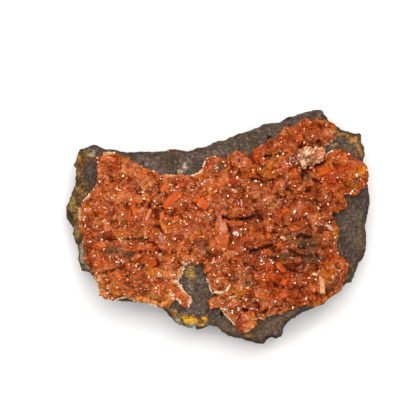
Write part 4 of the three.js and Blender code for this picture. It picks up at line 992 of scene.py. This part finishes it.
# The same wulfenite in larger, cleaner faces: glass-smooth, striped by growth steps, each
# crystal in a tone of its own. The faces turned to a lamp are the smoothest of all.
CLOUD_TONE = "#A0440E"
DARK_STEP = "#8A340C"
PALE_STEP = "#F09A5C"
for name, roughness, polish in (
        ("wulfenite_clean_faces", (0.08, 0.24), 0.3), ("wulfenite_mirror_faces", (0.05, 0.18), 0.55)):
    large_stone, tree, out = new_material(name)
    spot = add(tree, "ShaderNodeTexCoord").outputs["Object"]
    tone = add(tree, "ShaderNodeAttribute", {"attribute_name": "tone"})
    clouding = add(tree, "ShaderNodeTexNoise", inputs={  # humps of 1 mm
        "Vector": spot, "Scale": 900, "Detail": 3, "Roughness": 0.65})
    cloud_span = add(tree, "ShaderNodeMapRange", inputs={
        0: clouding.outputs["Fac"], 1: 0.42, 2: 0.75, 3: 0.0, 4: 0.6})
    local = add(tree, "ShaderNodeAttribute", {"attribute_name": "lengthways"})
    drawn = add(tree, "ShaderNodeVectorMath", {"operation": "MULTIPLY"}, {
        0: local.outputs["Vector"], 1: (0.5, 1.5, 1.0)})
    steps = add(tree, "ShaderNodeTexNoise", inputs={  # stripes of about 0.8 mm, drawn out lengthways
        "Vector": drawn.outputs[0], "Scale": 1.0, "Detail": 4, "Roughness": 0.7})
    dark_line = add(tree, "ShaderNodeMapRange", inputs={
        0: steps.outputs["Fac"], 1: 0.5, 2: 0.36, 3: 0.0, 4: 0.5})
    pale_line = add(tree, "ShaderNodeMapRange", inputs={
        0: steps.outputs["Fac"], 1: 0.56, 2: 0.7, 3: 0.0, 4: 0.4})
    colour = blend_in(tree, cloud_span.outputs[0], tone.outputs["Color"], CLOUD_TONE)
    colour = blend_in(tree, dark_line.outputs[0], colour, DARK_STEP)
    colour = blend_in(tree, pale_line.outputs[0], colour, PALE_STEP)
    gloss = add(tree, "ShaderNodeMapRange", inputs={
        0: clouding.outputs["Fac"], 1: 0.3, 2: 0.7, 3: roughness[0], 4: roughness[1]})
    bump = add(tree, "ShaderNodeBump", inputs={
        "Height": clouding.outputs["Fac"], "Strength": 0.35, "Distance": 0.12 * MM})
    dense_glass(tree, out, colour, gloss, polish, bump)
    large_mesh.materials.append(large_stone)
large_mesh.polygons.foreach_set("material_index", np.array(mirrors, int))
large = place("large_crystals", large_mesh)
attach(large, "root")
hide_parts("wulfenite_crust")

# ------------------------------------------------------------------ the carpet of small crystals
# Square plates and stubby blocks of wulfenite, most of them one to three millimetres across,
# grown through each other at every angle over the whole sheet, coarser towards its right.


def ring_form(rings):
    """A crystal of square rings, each given as half length, half width and height."""
    square = ((-1, -1), (1, -1), (1, 1), (-1, 1))
    return ringed([(u * x, v * y, z) for x, y, z in rings for u, v in square], len(square))


def form_set(name, shapes):
    """A collection of crystal shapes, for the carpet to pick from."""
    forms = bpy.data.collections.new(name)
    scene.collection.children.link(forms)
    for shape, (vertices, faces) in shapes.items():
        form_mesh = bpy.data.meshes.new(shape)
        form_mesh.from_pydata(vertices, [], faces)
        forms.objects.link(bpy.data.objects.new(shape, form_mesh))
    return forms


CRYSTAL_FORMS = {
    "plate": ring_form([(0.34, 0.34, -0.2), (0.5, 0.5, -0.05), (0.5, 0.5, 0.06), (0.36, 0.36, 0.2)]),
    "thin_plate": ring_form([(0.44, 0.44, -0.1), (0.5, 0.5, 0.0), (0.44, 0.44, 0.1)]),
    "block": ring_form([(0.3, 0.3, -0.36), (0.46, 0.44, -0.1), (0.46, 0.44, 0.12), (0.22, 0.2, 0.36)]),
    "pyramid": ring_form([(0.16, 0.16, -0.5), (0.44, 0.42, 0.0), (0.1, 0.1, 0.5)]),
    "blade": ring_form([(0.5, 0.2, -0.14), (0.56, 0.24, 0.0), (0.5, 0.2, 0.14)]),
    "shard": ring_form([(0.5, 0.14, -0.3), (0.62, 0.28, 0.0), (0.3, 0.1, 0.3)]),
    "sliver": ring_form([(0.6, 0.1, -0.16), (0.76, 0.15, 0.0), (0.66, 0.08, 0.16)]),
}
crystal_forms = form_set("crystal_forms", CRYSTAL_FORMS)
FORM_COUNT = len(CRYSTAL_FORMS)
CROWDING = 1.2e7  # places tried per square metre, before the spacing thins them

# One tree grows every layer. It seats crystals a set distance apart, gives each a width, build, lean
# and form of its own, and lifts it a part of its width out of the ground, or sinks it.
grow = bpy.data.node_groups.new("grow_crystals", "GeometryNodeTree")
grow.is_modifier = True
for name, kind, value in (
        ("Geometry", "NodeSocketGeometry", None), ("Spacing", "NodeSocketFloat", 1.0),
        ("Smallest", "NodeSocketFloat", 1.0), ("Largest", "NodeSocketFloat", 2.0),
        ("Tilt", "NodeSocketFloat", 1.0), ("Lift", "NodeSocketFloat", 0.0),
        ("Seed", "NodeSocketInt", 1), ("Forms", "NodeSocketCollection", None),
        ("Form Count", "NodeSocketInt", FORM_COUNT), ("Stone", "NodeSocketMaterial", None)):
    socket = grow.interface.new_socket(name, in_out="INPUT", socket_type=kind)
    if value is not None:
        socket.default_value = value
grow.interface.new_socket("Geometry", in_out="OUTPUT", socket_type="NodeSocketGeometry")
given = grow.nodes.new("NodeGroupInput").outputs
where = add(grow, "GeometryNodeInputNamedAttribute", {"data_type": "FLOAT"}, {"Name": "growth"})
seats = add(grow, "GeometryNodeDistributePointsOnFaces", {"distribute_method": "POISSON"}, {
    "Mesh": given["Geometry"], "Distance Min": given["Spacing"], "Density Max": CROWDING,
    "Density Factor": where.outputs["Attribute"], "Seed": given["Seed"]})
span = add(grow, "FunctionNodeRandomValue", {"data_type": "FLOAT"}, {
    2: 0.0, 3: 1.0, "Seed": given["Seed"]})
skewed = add(grow, "ShaderNodeMath", {"operation": "POWER"}, {0: span.outputs[1], 1: 2.0})  # most are small
width = add(grow, "ShaderNodeMapRange", inputs={
    0: skewed.outputs[0], 3: given["Smallest"], 4: given["Largest"]})
build = add(grow, "FunctionNodeRandomValue", {"data_type": "FLOAT_VECTOR"}, {
    0: (0.85, 0.5, 0.7), 1: (1.4, 1.0, 1.4), "Seed": 5})
stretch = add(grow, "ShaderNodeVectorMath", {"operation": "SCALE"}, {
    0: build.outputs[0], 3: width.outputs[0]})
lean = add(grow, "FunctionNodeRandomValue", {"data_type": "FLOAT_VECTOR"}, {
    0: (-1.0, -1.0, -math.pi), 1: (1.0, 1.0, math.pi), "Seed": 6})
lean_most = add(grow, "ShaderNodeCombineXYZ", inputs={0: given["Tilt"], 1: given["Tilt"], 2: 1.0})
leaning = add(grow, "ShaderNodeVectorMath", {"operation": "MULTIPLY"}, {
    0: lean.outputs[0], 1: lean_most.outputs[0]})
turn = add(grow, "FunctionNodeEulerToRotation", inputs={0: leaning.outputs[0]})
set_turn = add(grow, "FunctionNodeRotateRotation", {"rotation_space": "LOCAL"}, {
    0: seats.outputs["Rotation"], 1: turn.outputs[0]})
last_form = add(grow, "ShaderNodeMath", {"operation": "SUBTRACT"}, {0: given["Form Count"], 1: 1.0})
choice = add(grow, "FunctionNodeRandomValue", {"data_type": "INT"}, {
    4: 0, 5: last_form.outputs[0], "Seed": 8})
shapes = add(grow, "GeometryNodeCollectionInfo", inputs={
    "Collection": given["Forms"], "Separate Children": True, "Reset Children": True})
lift_by = add(grow, "ShaderNodeMath", {"operation": "MULTIPLY"}, {0: given["Lift"], 1: width.outputs[0]})
lift = add(grow, "ShaderNodeVectorMath", {"operation": "SCALE"}, {
    0: seats.outputs["Normal"], 3: lift_by.outputs[0]})
lifted = add(grow, "GeometryNodeSetPosition", inputs={
    "Geometry": seats.outputs["Points"], "Offset": lift.outputs[0]})
grown = add(grow, "GeometryNodeInstanceOnPoints", inputs={
    "Points": lifted.outputs[0], "Instance": shapes.outputs[0], "Pick Instance": True,
    "Instance Index": choice.outputs[2], "Rotation": set_turn.outputs[0], "Scale": stretch.outputs[0]})
shade = add(grow, "FunctionNodeRandomValue", {"data_type": "FLOAT"}, {2: 0.0, 3: 1.0, "Seed": 9})
tinted = add(grow, "GeometryNodeStoreNamedAttribute", {"data_type": "FLOAT", "domain": "INSTANCE"}, {
    "Geometry": grown.outputs[0], "Name": "tint", "Value": shade.outputs[1]})
joined = add(grow, "GeometryNodeRealizeInstances", inputs={"Geometry": tinted.outputs[0]})
covered = add(grow, "GeometryNodeSetMaterial", inputs={
    "Geometry": joined.outputs[0], "Material": given["Stone"]})
result = grow.nodes.new("NodeGroupOutput")
grow.links.new(covered.outputs[0], result.inputs[0])


def carpet(name, ground, where, node, slot, rounded=False, **sizes):
    """Grows one layer of crystals on a ground, thick where `where` is high, as a mesh that rides with it."""
    holder = place("holder", ground.copy())
    mark(holder.data, "growth", where)
    modifier = holder.modifiers.new("grow", "NODES")
    modifier.node_group = grow
    for item in grow.interface.items_tree:
        if item.in_out == "INPUT" and item.name.replace(" ", "") in sizes:
            modifier[item.identifier] = sizes[item.name.replace(" ", "")]
    mesh = baked(holder)
    bpy.data.objects.remove(holder)
    places, _ = corners(mesh)
    reshape(mesh, places)
    mark_zones(mesh)
    if rounded:
        mesh.shade_smooth()
    else:
        mesh.shade_flat()
    piece = place(name, mesh)
    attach(piece, "root")
    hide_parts(node)
    return piece


def room_left(places, margin):
    """0 where a large crystal or the spire already stands, and 1 elsewhere. The margin is in mm."""
    flat = places[:, :2] / MM
    taken = np.zeros(len(places), bool)
    for x, y, length, breadth, _, heading, _, _, _, _ in LARGE:
        along = np.array((math.cos(math.radians(heading)), math.sin(math.radians(heading))))
        away = flat - (x, y)
        taken |= ((np.abs(away @ along) < 0.46 * length + margin)
                  & (np.abs(away @ (-along[1], along[0])) < 0.46 * breadth + margin))
    levels = np.array([ring[:4] for ring in SPIRE[:-2]])[::-1]
    left, right = (np.interp(flat[:, 1], levels[:, 0], levels[:, k]) for k in (1, 3))
    taken |= ((flat[:, 1] > levels[0, 0]) & (flat[:, 1] < levels[-1, 0] + 0.4)
              & (flat[:, 0] > left - margin) & (flat[:, 0] < right + margin))
    return 1.0 - taken


places, outward = corners(bed_mesh)
skirt = np.clip((outward[:, 2] - 0.04) * 2.5, 0, 1) * off_seam * (1 - 0.6 * gap)
for name, where, margin, sizes in (
        ("fine_crystals", skirt * (1 - 0.4 * coarse), 0.0, dict(
            Spacing=0.96 * MM, Smallest=0.9 * MM, Largest=2.0 * MM, Tilt=1.0, Lift=-0.06, Seed=3)),
        ("small_crystals", growth, 0.5, dict(
            Spacing=1.6 * MM, Smallest=1.5 * MM, Largest=3.0 * MM, Tilt=0.9, Lift=-0.08, Seed=4)),
        ("medium_crystals", growth * (0.4 + 0.6 * coarse) * (near_seam < 0.05), 1.2, dict(
            Spacing=3.0 * MM, Smallest=2.5 * MM, Largest=4.6 * MM, Tilt=0.8, Lift=-0.12, Seed=7))):
    carpet(name, bed_mesh, where * room_left(places, margin), "wulfenite_crust", "wulfenite",
           rounded=name == "fine_crystals", Forms=crystal_forms, Stone=crystal_stone, **sizes)

# ------------------------------------------------------------------ the pale block
# A broken lump of sugary calcite, cream, flesh pink and brown. It grew on the rock before the
# wulfenite, which closed in round it, and it still stands between the sheet's lobes.
BLOCK_VOXEL = 0.3 * MM
BLOCK_LUMPS = 1.1  # mm that its lumps stand out and in
BLOCK_GRAINS = 0.4  # mm that its grains do
BLOCK_PARING = 0.1  # mm taken off all round, for the grains that are set on it
block_mesh = fine_copy("calcite_block", BLOCK_VOXEL)
places, outward = corners(block_mesh)
lumps = BLOCK_LUMPS * grain(places, 3.0 * MM, 2, 31) + BLOCK_GRAINS * grain(places, 1.0 * MM, 1, 32)
reshape(block_mesh, places + outward * (MM * (lumps - BLOCK_PARING))[:, None])


# Calcite sugar: small glassy grains in cream, flesh and brown, white where they break.
def calcite(name, shades):
    """One finish of it, in shades from its stained grains to its clean ones."""
    material, tree, out = new_material(name)
    spot = add(tree, "ShaderNodeTexCoord").outputs["Object"]
    tint = add(tree, "ShaderNodeAttribute", {"attribute_name": "tint"})
    sugar = add(tree, "ShaderNodeTexVoronoi", inputs={"Vector": spot, "Scale": 1500})  # grains of 0.7 mm
    half = add(tree, "ShaderNodeMath", {"operation": "MULTIPLY"}, {0: sugar.outputs["Color"], 1: 0.4})
    depth = add(tree, "ShaderNodeMath", {"operation": "MULTIPLY_ADD"}, {
        0: tint.outputs["Fac"], 1: 0.6, 2: half.outputs[0]})
    colour = tone_scale(tree, depth.outputs[0], shades)
    for zone, tone in (("flesh", "#DE8C6A"), ("umber", "#74401E"), ("cream", "#FFEFD4")):
        colour = blend_in(tree, patch_factor(tree, zone, sugar.outputs["Color"], 0.5, 1.9), colour, tone)
    body = add(tree, "ShaderNodeBsdfPrincipled", inputs={"Base Color": colour, "Roughness": 0.35, "IOR": 1.6})
    tree.links.new(body.outputs[0], out.inputs["Surface"])
    return material


# Where the block changes colour: x, y, half width and half depth in mm.
BLOCK_ZONES = {
    "flesh": [(40.4, 28.8, 2.2, 3)],
    "umber": [(36.8, 27.6, 2.6, 1.6), (33.4, 30.6, 1.4, 0.8), (31.6, 25.6, 1.2, 1.2)],
    "cream": [
        (34, 25.4, 1.3, 1.6), (32.2, 28.2, 1.4, 0.9), (35, 29.6, 1.5, 0.8), (37.8, 31, 1.6, 0.7),
        (39.8, 25.8, 0.9, 1.2)],
}


def mark_block(mesh):
    """Marks the block's flesh, umber and cream zones."""
    places, _ = corners(mesh)
    for seed, (name, spots) in enumerate(BLOCK_ZONES.items()):
        mark(mesh, name, patch(places, spots, 0.5, 60 + seed))


block_calcite = calcite("sugary_calcite", ("#34160A", "#94481F", "#DE9060", "#F6CEA0", "#FFF3DC"))
foot_calcite = calcite("broken_calcite_foot", ("#D49A64", "#F4D6AE", "#FDEDD4", "#FFFAF0"))
GRAIN_FORMS = {
    "nugget": ring_form([(0.26, 0.3, -0.4), (0.5, 0.44, 0.0), (0.24, 0.26, 0.4)]),
    "chip": ring_form([(0.4, 0.3, -0.22), (0.5, 0.4, 0.0), (0.3, 0.36, 0.26)]),
}
grain_forms = form_set("grain_forms", GRAIN_FORMS)
mark(block_mesh, "tint", np.full(len(block_mesh.vertices), 0.3))
mark_block(block_mesh)
block = place("pale_block", block_mesh, block_calcite)
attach(block, "root")
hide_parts("calcite_block")
places, outward = corners(block_mesh)
sugar = carpet(
    "block_sugar", block_mesh, np.clip(outward[:, 2] + 0.9, 0, 1), "calcite_block", "calcite",
    Forms=grain_forms, FormCount=len(GRAIN_FORMS), Stone=block_calcite, Spacing=0.6 * MM,
    Smallest=0.5 * MM, Largest=1.5 * MM, Tilt=3.0, Lift=0.1, Seed=5)
mark_block(sugar.data)

# ------------------------------------------------------------------ the calcite foot
# Where the sheet broke away, its edge shows the white calcite it grew on: a sloping strip of
# broken grains along the rim, and a little more of it dusted in the sheet's hollows.
FOOT_STEP = 0.4  # mm between the strip's cross edges
FOOT_PROBE = 0.15  # mm between the places where the sheet's edge is looked for
FOOT_OVER = 0.55 * MM  # how far the grains stand over the sheet where it goes on past the line
FOOT_DROP = 1.6 * MM  # the most that the strip falls across its width
FOOT_SINK = 0.05 * MM  # how far its inner edge is sunk
# Each stretch of the strip: its points in mm, then its width in mm.
RIMS = [
    ([(-49.2, 14.8), (-51.2, 13.2), (-52.8, 11.6), (-54, 10.4)], 0.7),
    ([(-54.8, 7.6), (-55.4, 5.2), (-55.2, 2.4), (-54.8, -0.4)], 0.8),
    ([(-54.4, -6), (-53.6, -7.2), (-53, -8)], 0.7), ([(-48.4, -19.2), (-47.8, -20.8), (-47.2, -22.4)], 1.4),
    ([(-43.6, -29.3), (-40.8, -29.5), (-38.4, -29.1)], 0.5),
    ([(-38.4, -28.6), (-36.8, -27.8), (-35.6, -27.8)], 0.5), ([(-33.6, -29.4), (-30.8, -29.8)], 0.8),
    ([(-29.2, -30.2), (-26.8, -30.8), (-24.4, -31.6)], 1.9),
    ([(-11.2, -13.8), (-12.8, -14.2), (-14, -14.8), (-14.8, -17), (-15.8, -18.8), (-16.6, -20.8),
      (-17.2, -22)], 1.3), ([(-17.8, -22), (-16.4, -23.4), (-15, -24.6)], 1.6),
    ([(-15, -24.6), (-13.6, -25.8), (-11.8, -28)], 0.4), ([(-11.8, -28), (-11, -29.8), (-12.4, -32)], 1),
    ([(-17.4, -27.4), (-16, -28.8), (-15, -30.8)], 1.2),
    ([(-4, -20), (-3.4, -22.8), (-2.8, -25.2), (-2, -26.6)], 0.5),
    ([(-2, -26.6), (0.4, -27.2), (2.8, -27), (4.6, -25.4), (5.4, -23.6)], 0.9),
    ([(1, -32.4), (2.2, -33.8), (4.7, -37), (7, -39.4)], 0.5), ([(10.6, -42.2), (12.8, -40.9)], 0.1),
    ([(15.6, -35.3), (18.4, -35.4), (21.2, -35)], 0.4), ([(-26, 22.6), (-24.8, 21.6), (-24.4, 20.9)], 0.5),
    ([(-22, 20.9), (-19.8, 20.9), (-17.4, 20.9)], 0.1),
    ([(-11.2, 20.2), (-8.8, 21.2), (-6.4, 22.8), (-5.6, 25.2), (-4.6, 27.2)], 1),
    ([(-4.6, 27.4), (-2.8, 28.2), (-0.8, 28.2)], 0.6), ([(-45.6, 29.2), (-43.6, 29.6), (-41.2, 29.9)], 0.1),
    ([(42.4, 32.5), (44.4, 33.2), (45.6, 34.6)], 0.6), ([(42.6, 27.6), (44, 29.6), (46, 30.2)], 0.5),
    ([(-0.4, -14), (1.2, -15.6), (1.6, -17.2)], 0.15),
    ([(7.2, -21.2), (9.2, -19.2), (10, -16.4), (12.4, -14.4)], 0.1)]
# Where the sheet's hollows are dusted: x, y, half width and half depth in mm.
SUGAR = [
    (29.6, 26.4, 2.2, 1.8), (-24, -18.8, 2.4, 1), (-19, -26.8, 1.3, 2), (-31.4, -15.4, 1, 1.2),
    (-38.8, -5.4, 1.6, 1), (-18.8, 6.6, 1, 1.4), (13, -22.4, 1.6, 0.6), (-45.4, -24.6, 1.4, 1.2),
    (-1.2, 24.2, 0.9, 1.4), (9, -24, 1.6, 0.8), (14.6, 17.8, 1.4, 0.8), (43, 12, 1, 1)]

strip_vertices, strip_faces = [], []
for points, width in RIMS:
    marks = []
    for a, b in zip(map(Vector, points[:-1]), map(Vector, points[1:])):
        steps = max(1, round((b - a).length / FOOT_STEP))
        marks += [(a.lerp(b, k / steps), (b - a).normalized()) for k in range(steps)]
    marks.append((Vector(points[-1]), marks[-1][1]))
    middle, along = marks[len(marks) // 2]
    side = Vector((along.y, -along.x))
    left_high, right_high = height_at(*(middle - side))[0] or 0, height_at(*(middle + side))[0] or 0
    outer = 1 if left_high > right_high else -1
    begun = False
    for point, along in marks:
        out_way = Vector((along.y, -along.x)) * outer
        wide = width * (0.75 + 0.75 * noise.noise(Vector((point.x * 0.9, point.y * 0.9, 3.0))))
        reaches = [k * FOOT_PROBE for k in range(-12, 9) if height_at(*(point + out_way * k * FOOT_PROBE))[1]]
        if not reaches:
            begun = False
            continue
        edge = point + out_way * min(reaches[-1], 0.9)
        inner, rim = edge - out_way * 0.3 * wide, edge + out_way * (0.5 * wide + 0.15)
        # Where the sheet goes on past the line, the grains stand on the crystals of the break.
        over = FOOT_OVER if height_at(*rim)[1] else 0
        inner_z = (height_at(*inner)[0] or height_at(*edge)[0]) + over
        floor_z = max((height_at(*rim)[0] or 0) + over, inner_z - FOOT_DROP)
        strip_vertices.append((inner.x * MM, inner.y * MM, inner_z - FOOT_SINK))
        strip_vertices.append((rim.x * MM, rim.y * MM, floor_z))
        if begun:
            n = len(strip_vertices)
            face = (n - 4, n - 3, n - 1, n - 2)
            strip_faces.append(face if outer > 0 else face[::-1])
        begun = True
strip_mesh = bpy.data.meshes.new("foot_strip")
strip_mesh.from_pydata(strip_vertices, [], strip_faces)
strip_mesh.update()
grain_sizes = dict(Forms=grain_forms, FormCount=len(GRAIN_FORMS), Stone=foot_calcite, Tilt=3.0)
carpet("calcite_foot", strip_mesh, np.ones(len(strip_vertices)), "wulfenite_crust", "calcite",
       Spacing=0.28 * MM, Smallest=0.35 * MM, Largest=0.8 * MM, Lift=0.0, Seed=6, **grain_sizes)
places, _ = corners(bed_mesh)
carpet("calcite_sugar", bed_mesh, patch(places, SUGAR, 0.6, 51) * 0.8, "wulfenite_crust", "calcite",
       Spacing=0.7 * MM, Smallest=0.4 * MM, Largest=0.85 * MM, Lift=0.4, Seed=8, **grain_sizes)

# ------------------------------------------------------------------ clearing away the crystal forms
for forms in (crystal_forms, grain_forms):
    for form in list(forms.objects):
        bpy.data.objects.remove(form)
    bpy.data.collections.remove(forms)
